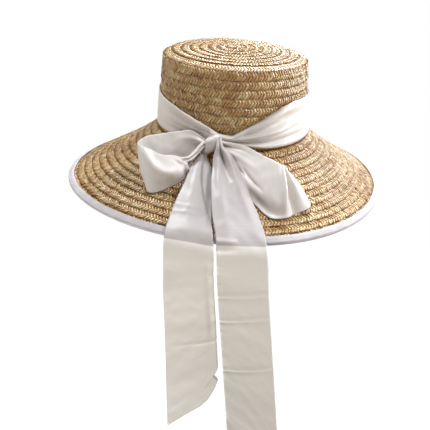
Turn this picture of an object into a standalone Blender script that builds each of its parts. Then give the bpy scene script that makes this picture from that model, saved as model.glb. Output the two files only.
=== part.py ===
"""Wide-brim straw hat with a ribbon bow, as separate solids at real size.

Metres, +Z up. The origin is the centre of the head opening, in the plane where the crown meets the
brim. The head's long axis lies along Y and the bow faces -Y. The hat is worn a little to one side:
that plane leans down towards +X, and the ribbon's tails hang straight down. Angles round the hat run
from the bow, 0 at -Y and 90 at +X.
"""

import math
from collections import namedtuple

import bpy
import numpy as np

MM = 0.001

# Head opening and straw wall
HEAD_WIDTH = 171.4 * MM
HEAD_LENGTH = 191.8 * MM
WALL = 3.0 * MM
BRAID_PITCH = 9.7 * MM
BRAID_LIP = 1.0 * MM
GAP = 0.3 * MM
WORN_TILT = math.radians(4.4)

# Crown
CROWN_HEIGHT = 86.5 * MM
CROWN_TAPER = 5.0 * MM
CROWN_LEAN = -3.8 * MM
SHOULDER = 4.0 * MM
TIP_RISE = 6.0 * MM

# Brim: its level reach, its drop and the way that it springs from the crown
BRIM_REACH = 96.2 * MM
BRIM_DROP = 61.7 * MM
BRIM_SPRING = 0.19
BRIM_CURL = 0.25
RIM_SHIFT_X = -5.8 * MM
RIM_SHIFT_Y = -2.8 * MM

# Cloth binding folded over the rim
BINDING_WIDTH = 8.0 * MM
BINDING_CLOTH = 1.0 * MM

# Ribbon, its knot and the free lengths of its tails below the rim
RIBBON_WIDTH = 50.0 * MM
RIBBON_CLOTH = 1.2 * MM
KNOT_WIDTH = 13.0 * MM
KNOT_HEIGHT = 18.0 * MM
KNOT_DEPTH = 11.0 * MM
KNOT_TAPER = 0.82
KNOT_ROUNDING = 4.0 * MM
KNOT_RISE = 6.0 * MM
KNOT_ANGLE = 1.0
LEFT_TAIL_OUTER = 203.0 * MM
LEFT_TAIL_INNER = 136.0 * MM
RIGHT_TAIL_INNER = 216.0 * MM
RIGHT_TAIL_OUTER = 278.0 * MM
LEFT_TAIL_OUTER_LEAN = -0.010
LEFT_TAIL_INNER_LEAN = 0.030
RIGHT_TAIL_INNER_LEAN = 0.050
RIGHT_TAIL_OUTER_LEAN = 0.068

# Facets
CROWN_SIDES = 40
BRIM_SIDES = 48
BAND_SIDES = 60
STEPS_BETWEEN_ROWS = 2

STRAW = (0.74, 0.57, 0.34)
RIBBON = (0.84, 0.82, 0.80)
BINDING = (0.80, 0.78, 0.83)

BASE_RADIUS = HEAD_WIDTH / 2 + WALL
TOP_RADIUS = BASE_RADIUS - CROWN_TAPER
OVAL = (HEAD_LENGTH - HEAD_WIDTH) / 2

# How the brim's edge rises and falls round the hat, the height as a share of its drop
Wave = namedtuple("Wave", "turns height peak_angle")
BRIM_WAVES = (
    Wave(1, 0.079, 53),
    Wave(2, 0.046, 296),
    Wave(3, 0.012, 294),
)

# The band's edges as shares of the ribbon's width, and how deep its pleats are there
BandRow = namedtuple("BandRow", "angle lower upper pleat")
BAND_ROWS = (
    BandRow(-180, 0.05, 0.92, 0.000),
    BandRow(-95, 0.05, 0.88, 0.005),
    BandRow(-57, 0.07, 0.81, 0.010),
    BandRow(-33, 0.09, 0.73, 0.020),
    BandRow(-16, 0.13, 0.60, 0.030),
    BandRow(-4, 0.16, 0.47, 0.030),
    BandRow(5, 0.16, 0.34, 0.030),
    BandRow(14, 0.16, 0.31, 0.040),
    BandRow(20, 0.12, 0.42, 0.060),
    BandRow(32, 0.06, 0.62, 0.085),
    BandRow(40, 0.04, 0.76, 0.080),
    BandRow(50, 0.03, 0.90, 0.065),
    BandRow(61, 0.03, 0.97, 0.040),
    BandRow(90, 0.04, 0.96, 0.005),
    BandRow(180, 0.05, 0.92, 0.000),
)

# The pleats run along the band: three valleys between ridges, by share of its height
FoldColumn = namedtuple("FoldColumn", "share rise")
BAND_FOLDS = (
    FoldColumn(0.00, 0.8),
    FoldColumn(0.16, 0.0),
    FoldColumn(0.31, 1.0),
    FoldColumn(0.45, 0.0),
    FoldColumn(0.60, 1.0),
    FoldColumn(0.75, 0.0),
    FoldColumn(1.00, 0.6),
)

# A loop's two edges, from the knot round its turned end and back to the knot. Each edge point is an
# angle, a share of the brim's reach and a lift above the brim as a share of the ribbon's width.
LoopRow = namedtuple("LoopRow", "angle out lift low_angle low_out low_lift bulge pleat")
LEFT_LOOP = (
    LoopRow(-2.9, 0.080, 0.34, -3.2, 0.100, 0.14, 0.00, 0.010),
    LoopRow(-12.5, 0.087, 0.50, -12.4, 0.190, 0.09, 0.00, 0.020),
    LoopRow(-19.9, 0.140, 0.52, -16.3, 0.306, 0.09, 0.02, 0.010),
    LoopRow(-26.2, 0.282, 0.64, -17.6, 0.450, 0.08, 0.02, 0.000),
    LoopRow(-30.2, 0.410, 0.72, -19.6, 0.575, 0.06, 0.00, 0.000),
    LoopRow(-30.0, 0.500, 0.73, -17.8, 0.645, 0.05, 0.00, 0.000),
    LoopRow(-21.4, 0.497, 0.67, -13.2, 0.610, 0.05, 0.06, 0.000),
    LoopRow(-16.4, 0.485, 0.61, -10.2, 0.530, 0.06, 0.14, 0.010),
    LoopRow(-12.8, 0.409, 0.52, -6.8, 0.425, 0.06, 0.12, 0.020),
    LoopRow(-9.8, 0.294, 0.34, -6.9, 0.270, 0.09, 0.03, 0.020),
    LoopRow(-3.3, 0.120, 0.41, -4.2, 0.125, 0.20, 0.00, 0.010),
)
RIGHT_LOOP = (
    LoopRow(6.6, 0.124, 0.46, 6.6, 0.124, 0.18, 0.00, 0.010),
    LoopRow(21.5, 0.190, 0.52, 14.2, 0.270, 0.10, 0.02, 0.022),
    LoopRow(29.8, 0.326, 0.58, 20.2, 0.450, 0.08, 0.04, 0.024),
    LoopRow(34.3, 0.417, 0.62, 24.8, 0.599, 0.06, 0.05, 0.018),
    LoopRow(36.8, 0.474, 0.63, 31.3, 0.772, 0.05, 0.05, 0.010),
    LoopRow(37.9, 0.482, 0.63, 35.6, 0.779, 0.05, 0.04, 0.000),
    LoopRow(38.9, 0.464, 0.55, 43.5, 0.731, 0.05, 0.02, 0.000),
    LoopRow(39.5, 0.425, 0.48, 46.9, 0.711, 0.05, 0.00, 0.000),
    LoopRow(35.3, 0.311, 0.37, 45.6, 0.454, 0.06, 0.00, 0.000),
    LoopRow(27.3, 0.194, 0.35, 31.7, 0.187, 0.08, 0.00, 0.000),
    LoopRow(6.6, 0.080, 0.38, 6.6, 0.080, 0.16, 0.00, 0.000),
)
LOOP_ACROSS = 8
LOOP_PLEATS = 2.5

# A tail's two edges over the brim, from under the knot to just past the rim
TailRow = namedtuple("TailRow", "left_angle left_out left_lift right_angle right_out right_lift")
LEFT_TAIL = (
    TailRow(-4.3, 0.156, 0.13, 0.3, 0.160, 0.15),
    TailRow(-4.9, 0.244, 0.16, 3.5, 0.225, 0.16),
    TailRow(-5.1, 0.344, 0.18, 5.7, 0.344, 0.18),
    TailRow(-4.3, 0.465, 0.18, 7.2, 0.470, 0.18),
    TailRow(-3.9, 0.679, 0.14, 9.0, 0.667, 0.14),
    TailRow(-3.3, 0.877, 0.10, 10.4, 0.851, 0.10),
    TailRow(-2.6, 1.000, 0.14, 11.5, 1.000, 0.14),
    TailRow(-1.7, 1.100, 0.08, 12.3, 1.100, 0.08),
)
RIGHT_TAIL = (
    TailRow(5.6, 0.185, 0.44, 10.0, 0.200, 0.48),
    TailRow(4.9, 0.215, 0.30, 13.9, 0.230, 0.42),
    TailRow(5.6, 0.290, 0.24, 17.9, 0.290, 0.30),
    TailRow(6.6, 0.427, 0.24, 20.8, 0.420, 0.28),
    TailRow(8.6, 0.631, 0.20, 23.3, 0.614, 0.24),
    TailRow(10.3, 0.815, 0.16, 25.5, 0.784, 0.18),
    TailRow(12.3, 1.000, 0.15, 26.9, 1.000, 0.15),
    TailRow(13.0, 1.100, 0.08, 27.1, 1.100, 0.08),
)

# The tails' free lengths: how far down, and how far each stretch swings out from the rim
HangRow = namedtuple("HangRow", "drop swing")
TAIL_HANG = (
    HangRow(0.15, 0.07),
    HangRow(0.50, 0.05),
    HangRow(1.00, 0.03),
)

# The lie of a tail across its width: heights as shares of the ribbon's width
PleatColumn = namedtuple("PleatColumn", "share knot rim end")
LEFT_TAIL_PLEATS = (
    PleatColumn(0.00, 0.00, 0.00, 0.00),
    PleatColumn(0.18, 0.04, 0.02, 0.00),
    PleatColumn(0.42, 0.07, 0.05, 0.01),
    PleatColumn(0.68, 0.05, 0.04, 0.02),
    PleatColumn(0.78, -0.02, -0.02, 0.01),
    PleatColumn(0.90, -0.03, -0.02, 0.00),
    PleatColumn(1.00, 0.00, 0.00, 0.00),
)
RIGHT_TAIL_PLEATS = (
    PleatColumn(0.00, 0.00, 0.00, 0.00),
    PleatColumn(0.16, 0.06, 0.03, 0.00),
    PleatColumn(0.36, 0.07, 0.04, -0.01),
    PleatColumn(0.55, -0.01, 0.03, -0.02),
    PleatColumn(0.72, -0.01, 0.02, -0.01),
    PleatColumn(0.86, 0.05, 0.02, 0.01),
    PleatColumn(1.00, 0.00, 0.00, 0.00),
)


def brim_fall(out):
    """How far the brim's upper side lies below the opening at a share of its reach."""
    spring = BRIM_SPRING * out * (1 - out)
    curl = BRIM_CURL * out * (1 - out) * (1 - 2 * out)
    return BRIM_DROP * (out + spring + curl)


def rim_wave(angle):
    """The rise of the rim at an angle in radians from the bow."""
    share = sum(w.height * math.cos(w.turns * angle - math.radians(w.peak_angle)) for w in BRIM_WAVES)
    return BRIM_DROP * share


def worn_point(radius, angle, height, out=0.0, lift=0.0):
    """A turned point, drawn out along the head's length and moved to the hat's lie as it is worn."""
    length = radius + OVAL * min(1.0, radius / (3 * BRAID_PITCH))
    lean = CROWN_LEAN * max(height, 0.0) / CROWN_HEIGHT
    x = radius * math.sin(angle) + lean + RIM_SHIFT_X * out
    y = -length * math.cos(angle) + RIM_SHIFT_Y * out
    z = height + out * rim_wave(angle) + lift
    cosine = math.cos(WORN_TILT)
    sine = math.sin(WORN_TILT)
    return x * cosine + z * sine, y, z * cosine - x * sine


def brim_point(angle, out, lift):
    """A point above the brim, by degrees, share of the reach and share of the ribbon's width."""
    radius = BASE_RADIUS + BRIM_REACH * out
    return np.array(worn_point(radius, math.radians(angle), -brim_fall(out), out, lift * RIBBON_WIDTH))


def crown_radius(height):
    """The outer radius of the crown's side."""
    return BASE_RADIUS - CROWN_TAPER * height / CROWN_HEIGHT


def material(name, colour, roughness):
    made = bpy.data.materials.new(name)
    made.use_nodes = True
    shader = made.node_tree.nodes["Principled BSDF"]
    shader.inputs["Base Color"].default_value = (*colour, 1.0)
    shader.inputs["Roughness"].default_value = roughness
    shader.inputs["Metallic"].default_value = 0.0
    return made


def add_object(name, mesh, look):
    made = bpy.data.objects.new(name, mesh)
    made.data.materials.append(look)
    hat.objects.link(made)
    return made


def turned(name, profile, sides, look, on_brim):
    """Turns a closed or axis-to-axis profile, then gives it the hat's oval and its lie."""
    guide_mesh = bpy.data.meshes.new(name + "_profile")
    points = [(x, 0.0, z) for x, z in profile]
    edges = [(i, i + 1) for i in range(len(points) - 1)]
    if profile[0][0] > 0:
        edges.append((len(points) - 1, 0))
    guide_mesh.from_pydata(points, edges, [])
    guide = bpy.data.objects.new(name + "_guide", guide_mesh)
    hat.objects.link(guide)
    screw = guide.modifiers.new("turn", "SCREW")
    screw.steps = screw.render_steps = sides
    screw.use_merge_vertices = True
    screw.merge_threshold = 0.00005
    graph = bpy.context.evaluated_depsgraph_get()
    mesh = bpy.data.meshes.new_from_object(guide.evaluated_get(graph))
    mesh.name = name
    bpy.data.objects.remove(guide)
    bpy.data.meshes.remove(guide_mesh)
    for vertex in mesh.vertices:
        x, y, z = vertex.co
        radius = math.hypot(x, y)
        out = (radius - BASE_RADIUS) / BRIM_REACH if on_brim else 0.0
        vertex.co = worn_point(radius, math.atan2(x, -y), z, max(out, 0.0))
    made = add_object(name, mesh, look)
    made.data.shade_smooth()
    made.data.set_sharp_from_angle(angle=math.radians(35))
    return made


def braided(path, length):
    """Outer points of lapped braid rows along a path of share -> (x, z, normal_x, normal_z).

    Each row starts tucked one lip under the row before it, and rises to its own edge."""
    rows = max(1, round(length / BRAID_PITCH))
    points = []
    for row in range(rows):
        x, z, nx, nz = path(row / rows)
        points.append((x - BRAID_LIP * nx, z - BRAID_LIP * nz))
        x, z, nx, nz = path((row + 1) / rows)
        points.append((x, z))
    return points


def build_crown(look):
    tip_edge = TOP_RADIUS - SHOULDER

    def tip(share):
        radius = tip_edge * share
        return radius, CROWN_HEIGHT + TIP_RISE * (1 - share * share), 0.0, 1.0

    def side(share):
        height = (CROWN_HEIGHT - SHOULDER) * (1 - share)
        return crown_radius(height), height, 1.0, 0.0

    outer = [(0.0, CROWN_HEIGHT + TIP_RISE)] + braided(tip, tip_edge)[1:]
    outer.append((TOP_RADIUS - SHOULDER * 0.35, CROWN_HEIGHT - SHOULDER * 0.35))
    outer += braided(side, CROWN_HEIGHT - SHOULDER)
    inner = [
        (BASE_RADIUS - WALL, 0.0),
        (crown_radius(CROWN_HEIGHT / 2) - WALL, CROWN_HEIGHT / 2),
        (TOP_RADIUS - WALL, CROWN_HEIGHT - SHOULDER - WALL),
        (tip_edge - WALL, CROWN_HEIGHT - WALL),
        (tip_edge / 2, CROWN_HEIGHT + TIP_RISE * 0.75 - WALL),
        (0.0, CROWN_HEIGHT + TIP_RISE - WALL),
    ]
    return turned("crown", outer + inner, CROWN_SIDES, look, on_brim=False)


def brim_path(share):
    """A place on the brim's upper side, with the way that its surface faces."""
    step = 0.001
    run = 2 * step * BRIM_REACH
    fall = brim_fall(share + step) - brim_fall(share - step)
    span = math.hypot(run, fall)
    return BASE_RADIUS + BRIM_REACH * share, -brim_fall(share) - GAP, fall / span, run / span


def build_brim(look):
    edge = 1 - (BINDING_CLOTH + GAP) / BRIM_REACH
    top = braided(lambda share: brim_path(share * edge), math.hypot(BRIM_REACH, BRIM_DROP))
    top[0] = (BASE_RADIUS - WALL, -GAP)
    under = []
    for share in (edge, 0.85, 0.65, 0.45, 0.25, 0.1, 0.0):
        x, z, nx, nz = brim_path(share)
        under.append((x - WALL * nx, z - WALL * nz))
    under.append((BASE_RADIUS - WALL, under[-1][1]))
    return turned("brim", top + under, BRIM_SIDES, look, on_brim=True)


def build_binding(look):
    """A folded strip round the rim: a channel that the brim's edge lies in."""
    x, z, nx, nz = brim_path(1.0)
    along = (nz, -nx)

    def at(back, up):
        return x + nx * up - along[0] * back, z + nz * up - along[1] * back

    inside_top = GAP
    outside_top = GAP + BINDING_CLOTH
    inside_low = -WALL - GAP
    outside_low = inside_low - BINDING_CLOTH
    profile = [
        at(BINDING_WIDTH, inside_top),
        at(BINDING_WIDTH, outside_top),
        at(BINDING_CLOTH * 0.5, outside_top),
        at(0.0, outside_top - BINDING_CLOTH * 0.6),
        at(0.0, outside_low + BINDING_CLOTH * 0.6),
        at(BINDING_CLOTH * 0.5, outside_low),
        at(BINDING_WIDTH, outside_low),
        at(BINDING_WIDTH, inside_low),
        at(BINDING_CLOTH, inside_low),
        at(BINDING_CLOTH, inside_top),
    ]
    return turned("brim_binding", profile, BRIM_SIDES, look, on_brim=True)


def read_rows(rows, angle):
    """The band's row at an angle, between the rows of its table."""
    angles = [row.angle for row in rows]
    return [float(np.interp(angle, angles, [row[i] for row in rows])) for i in (1, 2, 3)]


def cloth(name, grid, look, ring=False):
    """A sheet through a grid of points (station, across), made RIBBON_CLOTH thick."""
    stations, across = grid.shape[:2]
    index = np.arange(stations * across).reshape(stations, across)
    if ring:
        index = np.vstack([index, index[:1]])
    faces = []
    for i in range(len(index) - 1):
        for j in range(across - 1):
            faces.append((index[i, j], index[i + 1, j], index[i + 1, j + 1], index[i, j + 1]))
    mesh = bpy.data.meshes.new(name)
    mesh.from_pydata(grid.reshape(-1, 3).tolist(), [], [tuple(map(int, face)) for face in faces])
    made = add_object(name, mesh, look)
    mesh.shade_smooth()
    solid = made.modifiers.new("cloth", "SOLIDIFY")
    solid.thickness = RIBBON_CLOTH
    solid.offset = 0.0
    solid.use_even_offset = True
    return made


def build_band(look):
    """The ribbon round the crown, gathered towards the knot."""
    facet_dip = BASE_RADIUS * (1 - math.cos(math.pi / BAND_SIDES))
    stand = GAP + facet_dip + RIBBON_CLOTH / 2
    grid = np.empty((BAND_SIDES, len(BAND_FOLDS), 3))
    for i in range(BAND_SIDES):
        angle = -180 + 360 * i / BAND_SIDES
        lower, upper, pleat = read_rows(BAND_ROWS, angle)
        for j, column in enumerate(BAND_FOLDS):
            height = RIBBON_WIDTH * (lower + (upper - lower) * column.share)
            radius = crown_radius(height) + stand + RIBBON_WIDTH * pleat * column.rise
            grid[i, j] = worn_point(radius, math.radians(angle), height)
    return cloth("hat_band", grid, look, ring=True)


def knot_centre():
    """The knot sits on the band's front."""
    stand = GAP + RIBBON_CLOTH + RIBBON_WIDTH * 0.04
    radius = crown_radius(KNOT_RISE) + stand + GAP + KNOT_DEPTH / 2
    return worn_point(radius, math.radians(KNOT_ANGLE), KNOT_RISE)


def build_knot(look):
    """A rounded wrap of ribbon, wider at its top."""
    bpy.ops.mesh.primitive_cube_add(size=1.0)
    made = bpy.context.object
    made.name = made.data.name = "bow_knot"
    for collection in list(made.users_collection):
        collection.objects.unlink(made)
    hat.objects.link(made)
    made.data.materials.append(look)
    for vertex in made.data.vertices:
        x, y, z = vertex.co
        taper = 1.0 if z > 0 else KNOT_TAPER
        vertex.co = (x * KNOT_WIDTH * taper, y * KNOT_DEPTH, z * KNOT_HEIGHT)
    made.location = knot_centre()
    made.rotation_euler.y = WORN_TILT
    made.data.shade_smooth()
    soft = made.modifiers.new("soft", "BEVEL")
    soft.width = KNOT_ROUNDING
    soft.segments = 4
    return made


def smooth_rows(rows):
    """A smooth curve through rows of points, with stations at the rows and between them.

    Returns the stations, the share of the way at each, and the share at each row."""
    rows = np.array(rows, float)
    spans = np.linalg.norm(np.diff(rows, axis=0), axis=2).mean(axis=1)
    marks = np.concatenate([[0.0], np.cumsum(spans)])
    slopes = np.gradient(rows, marks, axis=0)
    count = (len(rows) - 1) * STEPS_BETWEEN_ROWS + 1
    made = np.empty((count, *rows.shape[1:]))
    places = np.empty(count)
    for n in range(count):
        i = min(n // STEPS_BETWEEN_ROWS, len(rows) - 2)
        t = n / STEPS_BETWEEN_ROWS - i
        width = marks[i + 1] - marks[i]
        places[n] = marks[i] + t * width
        made[n] = (
            (2 * t**3 - 3 * t**2 + 1) * rows[i]
            + (t**3 - 2 * t**2 + t) * width * slopes[i]
            + (3 * t**2 - 2 * t**3) * rows[i + 1]
            + (t**3 - t**2) * width * slopes[i + 1]
        )
    return made, places / marks[-1], marks / marks[-1]


def facing(edges):
    """For each station, the way that the sheet between its two edges faces."""
    along = np.gradient(edges.mean(axis=1), axis=0)
    face = np.cross(along, edges[:, 1] - edges[:, 0])
    return face / np.linalg.norm(face, axis=1, keepdims=True)


def build_loop(name, rows, look):
    """One loop of the bow, from the knot round its turned end and back."""
    edges = [
        (brim_point(r.angle, r.out, r.lift), brim_point(r.low_angle, r.low_out, r.low_lift)) for r in rows
    ]
    edges, places, marks = smooth_rows(edges)
    face = facing(edges)
    grid = np.empty((len(edges), LOOP_ACROSS, 3))
    for i, (upper, lower) in enumerate(edges):
        bulge = np.interp(places[i], marks, [r.bulge for r in rows])
        pleat = np.interp(places[i], marks, [r.pleat for r in rows])
        for j in range(LOOP_ACROSS):
            share = j / (LOOP_ACROSS - 1)
            fold = pleat * math.sin(2 * math.pi * LOOP_PLEATS * share)
            height = RIBBON_WIDTH * (4 * bulge * share * (1 - share) + fold)
            grid[i, j] = upper + (lower - upper) * share + face[i] * height
    return cloth(name, grid, look)


def build_tail(name, rows, columns, lengths, leans, look):
    """One tail of the bow, over the brim and down past the rim to its slanted end.

    Its two edges have their own free lengths, and lean by their own shares of those lengths."""
    edges = [
        [
            brim_point(r.left_angle, r.left_out, r.left_lift),
            brim_point(r.right_angle, r.right_out, r.right_lift),
        ]
        for r in rows
    ]
    rim_row = len(edges) - 1
    rim = edges[-1]
    for row in TAIL_HANG:
        swing = row.swing * RIBBON_WIDTH
        edges.append(
            [
                point + (lean * row.drop * length, -swing, -row.drop * length)
                for point, length, lean in zip(rim, lengths, leans)
            ]
        )
    edges, places, marks = smooth_rows(edges)
    face = -facing(edges)
    grid = np.empty((len(edges), len(columns), 3))
    for i, (left, right) in enumerate(edges):
        for j, column in enumerate(columns):
            stops = [0.0, marks[rim_row], 1.0]
            height = np.interp(places[i], stops, [column.knot, column.rim, column.end])
            gathered = np.linalg.norm(right - left) / RIBBON_WIDTH
            height *= RIBBON_WIDTH * min(1.0, gathered * 1.6)
            grid[i, j] = left + (right - left) * column.share + face[i] * height
    return cloth(name, grid, look)


for leftover in list(bpy.data.objects):
    bpy.data.objects.remove(leftover)
hat = bpy.data.collections.new("straw_hat")
bpy.context.scene.collection.children.link(hat)

straw = material("straw_braid", STRAW, 0.75)
ribbon = material("satin_ribbon", RIBBON, 0.45)
bias = material("bias_binding", BINDING, 0.6)

build_crown(straw)
build_brim(straw)
build_binding(bias)
build_band(ribbon)
build_knot(ribbon)
build_loop("bow_loop_left", LEFT_LOOP, ribbon)
build_loop("bow_loop_right", RIGHT_LOOP, ribbon)
build_tail(
    "ribbon_tail_left",
    LEFT_TAIL,
    LEFT_TAIL_PLEATS,
    (LEFT_TAIL_OUTER, LEFT_TAIL_INNER),
    (LEFT_TAIL_OUTER_LEAN, LEFT_TAIL_INNER_LEAN),
    ribbon,
)
build_tail(
    "ribbon_tail_right",
    RIGHT_TAIL,
    RIGHT_TAIL_PLEATS,
    (RIGHT_TAIL_INNER, RIGHT_TAIL_OUTER),
    (RIGHT_TAIL_INNER_LEAN, RIGHT_TAIL_OUTER_LEAN),
    ribbon,
)
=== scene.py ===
# %% [markdown]
# A wide-brim straw hat with a satin bow, as a lesson in cells.
#
# The imported model gives every solid at its real size. This script gives them their looks: plaited
# straw, satin ribbon and a bias-cut binding. Each cell makes one thing, and some print what they
# made.

# %% Load the imported model and keep its box
import math
from collections import namedtuple
from functools import partial

import bpy
import numpy as np
from mathutils import Matrix, Vector


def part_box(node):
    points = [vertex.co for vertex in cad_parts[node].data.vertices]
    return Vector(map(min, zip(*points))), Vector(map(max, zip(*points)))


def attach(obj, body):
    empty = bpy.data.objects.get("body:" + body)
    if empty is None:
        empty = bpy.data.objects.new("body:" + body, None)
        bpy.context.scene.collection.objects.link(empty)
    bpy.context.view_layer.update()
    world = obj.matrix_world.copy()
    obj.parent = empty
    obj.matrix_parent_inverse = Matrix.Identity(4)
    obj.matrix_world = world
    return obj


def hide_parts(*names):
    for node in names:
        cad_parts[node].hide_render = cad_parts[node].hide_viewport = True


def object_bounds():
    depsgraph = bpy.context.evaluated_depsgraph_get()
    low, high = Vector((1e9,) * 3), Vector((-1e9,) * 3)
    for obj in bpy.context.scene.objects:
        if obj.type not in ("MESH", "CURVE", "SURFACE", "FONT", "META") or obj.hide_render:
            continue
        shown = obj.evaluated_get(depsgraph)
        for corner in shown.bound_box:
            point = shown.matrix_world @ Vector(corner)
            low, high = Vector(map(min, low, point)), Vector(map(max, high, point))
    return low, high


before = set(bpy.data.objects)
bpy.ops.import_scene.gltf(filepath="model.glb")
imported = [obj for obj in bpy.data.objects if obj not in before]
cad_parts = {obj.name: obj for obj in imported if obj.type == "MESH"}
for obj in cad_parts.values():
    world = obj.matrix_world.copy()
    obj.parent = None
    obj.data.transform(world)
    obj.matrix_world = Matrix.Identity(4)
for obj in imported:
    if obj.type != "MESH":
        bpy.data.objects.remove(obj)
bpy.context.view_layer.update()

MM = 0.001
print("nodes:", ", ".join(sorted(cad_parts)))

# %% [markdown]
# The hat's form is a rule, so it is written once as functions. The sizes below are the solids' own:
# the head opening, the crown that stands on it, and the brim that falls away from it. Everything
# else in the script, down to one straw, is placed on these surfaces.

# %% The hat's sizes
HEAD_WIDTH = 171.4 * MM
HEAD_LENGTH = 191.8 * MM
WALL = 3.0 * MM
BRAID_PITCH = 9.7 * MM
GAP = 0.3 * MM
WORN_TILT = math.radians(4.4)
CROWN_HEIGHT = 86.5 * MM
CROWN_TAPER = 5.0 * MM
CROWN_LEAN = -3.8 * MM
SHOULDER = 4.0 * MM
TIP_RISE = 6.0 * MM
BRIM_REACH = 96.2 * MM
BRIM_DROP = 61.7 * MM
BRIM_SPRING = 0.19  # how much faster the brim falls by the crown than by the rim
BRIM_CURL = 0.25  # how much flatter it lies half way than at its two edges
RIM_SHIFT_X = -5.8 * MM
RIM_SHIFT_Y = -2.8 * MM
BINDING_WIDTH = 8.0 * MM
BINDING_CLOTH = 1.0 * MM
RIBBON_WIDTH = 50.0 * MM
RIBBON_CLOTH = 0.9 * MM

BASE_RADIUS = HEAD_WIDTH / 2 + WALL
TOP_RADIUS = BASE_RADIUS - CROWN_TAPER
SHOULDER_START = 0.93
TIP_TUCK = 0.6 * MM
OVAL = (HEAD_LENGTH - HEAD_WIDTH) / 2

Wave = namedtuple("Wave", "turns height peak_angle")
BRIM_WAVES = (Wave(1, 0.079, 53), Wave(2, 0.046, 296), Wave(3, 0.012, 294))

# %% The hat's surfaces
def worn(radius, angle, height, out=0.0, lift=0.0):
    """Points of the hat at angles in radians from the bow, as arrays or as single numbers."""
    radius, angle, height, out, lift = np.broadcast_arrays(radius, angle, height, out, lift)
    length = radius + OVAL * np.minimum(1.0, radius / (3 * BRAID_PITCH))
    lean = CROWN_LEAN * np.maximum(height, 0.0) / CROWN_HEIGHT
    x = radius * np.sin(angle) + lean + RIM_SHIFT_X * out
    y = -length * np.cos(angle) + RIM_SHIFT_Y * out
    wave = sum(w.height * np.cos(w.turns * angle - math.radians(w.peak_angle)) for w in BRIM_WAVES)
    z = height + out * BRIM_DROP * wave + lift
    cosine, sine = math.cos(WORN_TILT), math.sin(WORN_TILT)
    return np.stack([x * cosine + z * sine, y, z * cosine - x * sine], axis=-1)


def brim_fall(out):
    """How far the brim's upper side lies below the opening at a share of its reach."""
    spring = BRIM_SPRING * out * (1 - out)
    curl = BRIM_CURL * out * (1 - out) * (1 - 2 * out)
    return BRIM_DROP * (out + spring + curl)


def tip_path(share):
    """Radius and height at a share of the way from the crown's centre over the shoulder."""
    turned_down = np.square(np.maximum(0.0, (share - SHOULDER_START) / (1 - SHOULDER_START)))
    height = CROWN_HEIGHT + TIP_RISE * (1 - np.square(share)) - SHOULDER * turned_down
    return (TOP_RADIUS - TIP_TUCK) * share, height


def side_path(share):
    height = (CROWN_HEIGHT - SHOULDER) * (1 - share)
    return BASE_RADIUS - CROWN_TAPER * height / CROWN_HEIGHT, height


def brim_path(share):
    return BASE_RADIUS + BRIM_REACH * share, -brim_fall(share) - GAP


def on_tip(share, angle):
    radius, height = tip_path(share)
    return worn(radius, angle, height)


def on_side(share, angle):
    radius, height = side_path(share)
    return worn(radius, angle, height)


def on_brim(share, angle):
    radius, height = brim_path(share)
    return worn(radius, angle, height, share)


def brim_point(angle, out, lift):
    """A point above the brim, by degrees, share of the reach and share of the ribbon's width."""
    radius = BASE_RADIUS + BRIM_REACH * out
    return worn(radius, np.radians(angle), -brim_fall(out), out, lift * RIBBON_WIDTH)


def unit(vectors):
    return vectors / np.linalg.norm(vectors, axis=-1, keepdims=True)


def outward(surface, share, angle):
    """The surface's outward direction, and its direction from the crown's centre to its rim."""
    step = 0.002
    along = surface(share, angle + step) - surface(share, angle - step)
    across = unit(surface(share + step, angle) - surface(share - step, angle))
    return unit(np.cross(across, along)), across


# %% [markdown]
# Small helpers serve the whole lesson. One turns a colour as a painter writes it, in sRGB hex, into
# the linear numbers that a shader wants. One adds a shader or geometry node with its settings and
# plugs it in. The others start a material, write a ramp's colours, and turn arrays into a mesh.

# %% Helpers for colours, nodes and meshes
def linear(code):
    """An sRGB hex colour as linear RGBA."""
    parts = [int(code[i : i + 2], 16) / 255 for i in (1, 3, 5)]
    straight = [p / 12.92 if p <= 0.04045 else ((p + 0.055) / 1.055) ** 2.4 for p in parts]
    return (*straight, 1.0)


def plug(node, **inputs):
    """Sets inputs, each to a value, a socket, or a node, which stands for its first live output."""
    for name, value in inputs.items():
        key = int(name[1:]) if name[0] == "i" and name[1:].isdigit() else name.replace("_", " ")
        if isinstance(value, bpy.types.Node):
            value = next(socket for socket in value.outputs if socket.enabled)
        if isinstance(value, bpy.types.NodeSocket):
            node.id_data.links.new(value, node.inputs[key])
        else:
            node.inputs[key].default_value = value


def add_node(tree, kind, settings=None, **inputs):
    """A new node with its settings and inputs. _ in an input's name stands for a space."""
    node = tree.nodes.new(kind)
    for name, value in (settings or {}).items():
        setattr(node, name, value)
    plug(node, **inputs)
    return node


def new_look(name, **values):
    """A material, its way to add a node, and its shader, with these values on its own sockets."""
    look = bpy.data.materials.new(name)
    look.use_nodes = True
    shader = look.node_tree.nodes["Principled BSDF"]
    plug(shader, **values)
    return look, partial(add_node, look.node_tree), shader


def set_stops(ramp, stops):
    elements = ramp.color_ramp.elements
    while len(elements) < len(stops):
        elements.new(0.5)
    for element, (place, code) in zip(elements, stops):
        element.position = place
        element.color = linear(code)


def band_scale(spacing):
    """A wave texture's scale for bands at this spacing: it turns 20 radians for each unit."""
    return math.tau / 20 / spacing


def new_mesh(name, points, faces):
    mesh = bpy.data.meshes.new(name)
    whole = [tuple(map(int, face)) for face in faces]
    mesh.from_pydata(np.asarray(points).reshape(-1, 3).tolist(), [], whole)
    mesh.shade_smooth()
    return mesh


def new_piece(name, mesh, look=None):
    piece = bpy.data.objects.new(name, mesh)
    bpy.context.scene.collection.objects.link(piece)
    if look:
        mesh.materials.append(look)
    return piece


def keep(mesh, name, kind, values):
    """Keeps a number or a vector for each point, for a shader or a tree to read."""
    held = mesh.attributes.new(name, kind, "POINT")
    field = "vector" if kind == "FLOAT_VECTOR" else "value"
    held.data.foreach_set(field, np.asarray(values, np.float32).reshape(-1))


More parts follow.
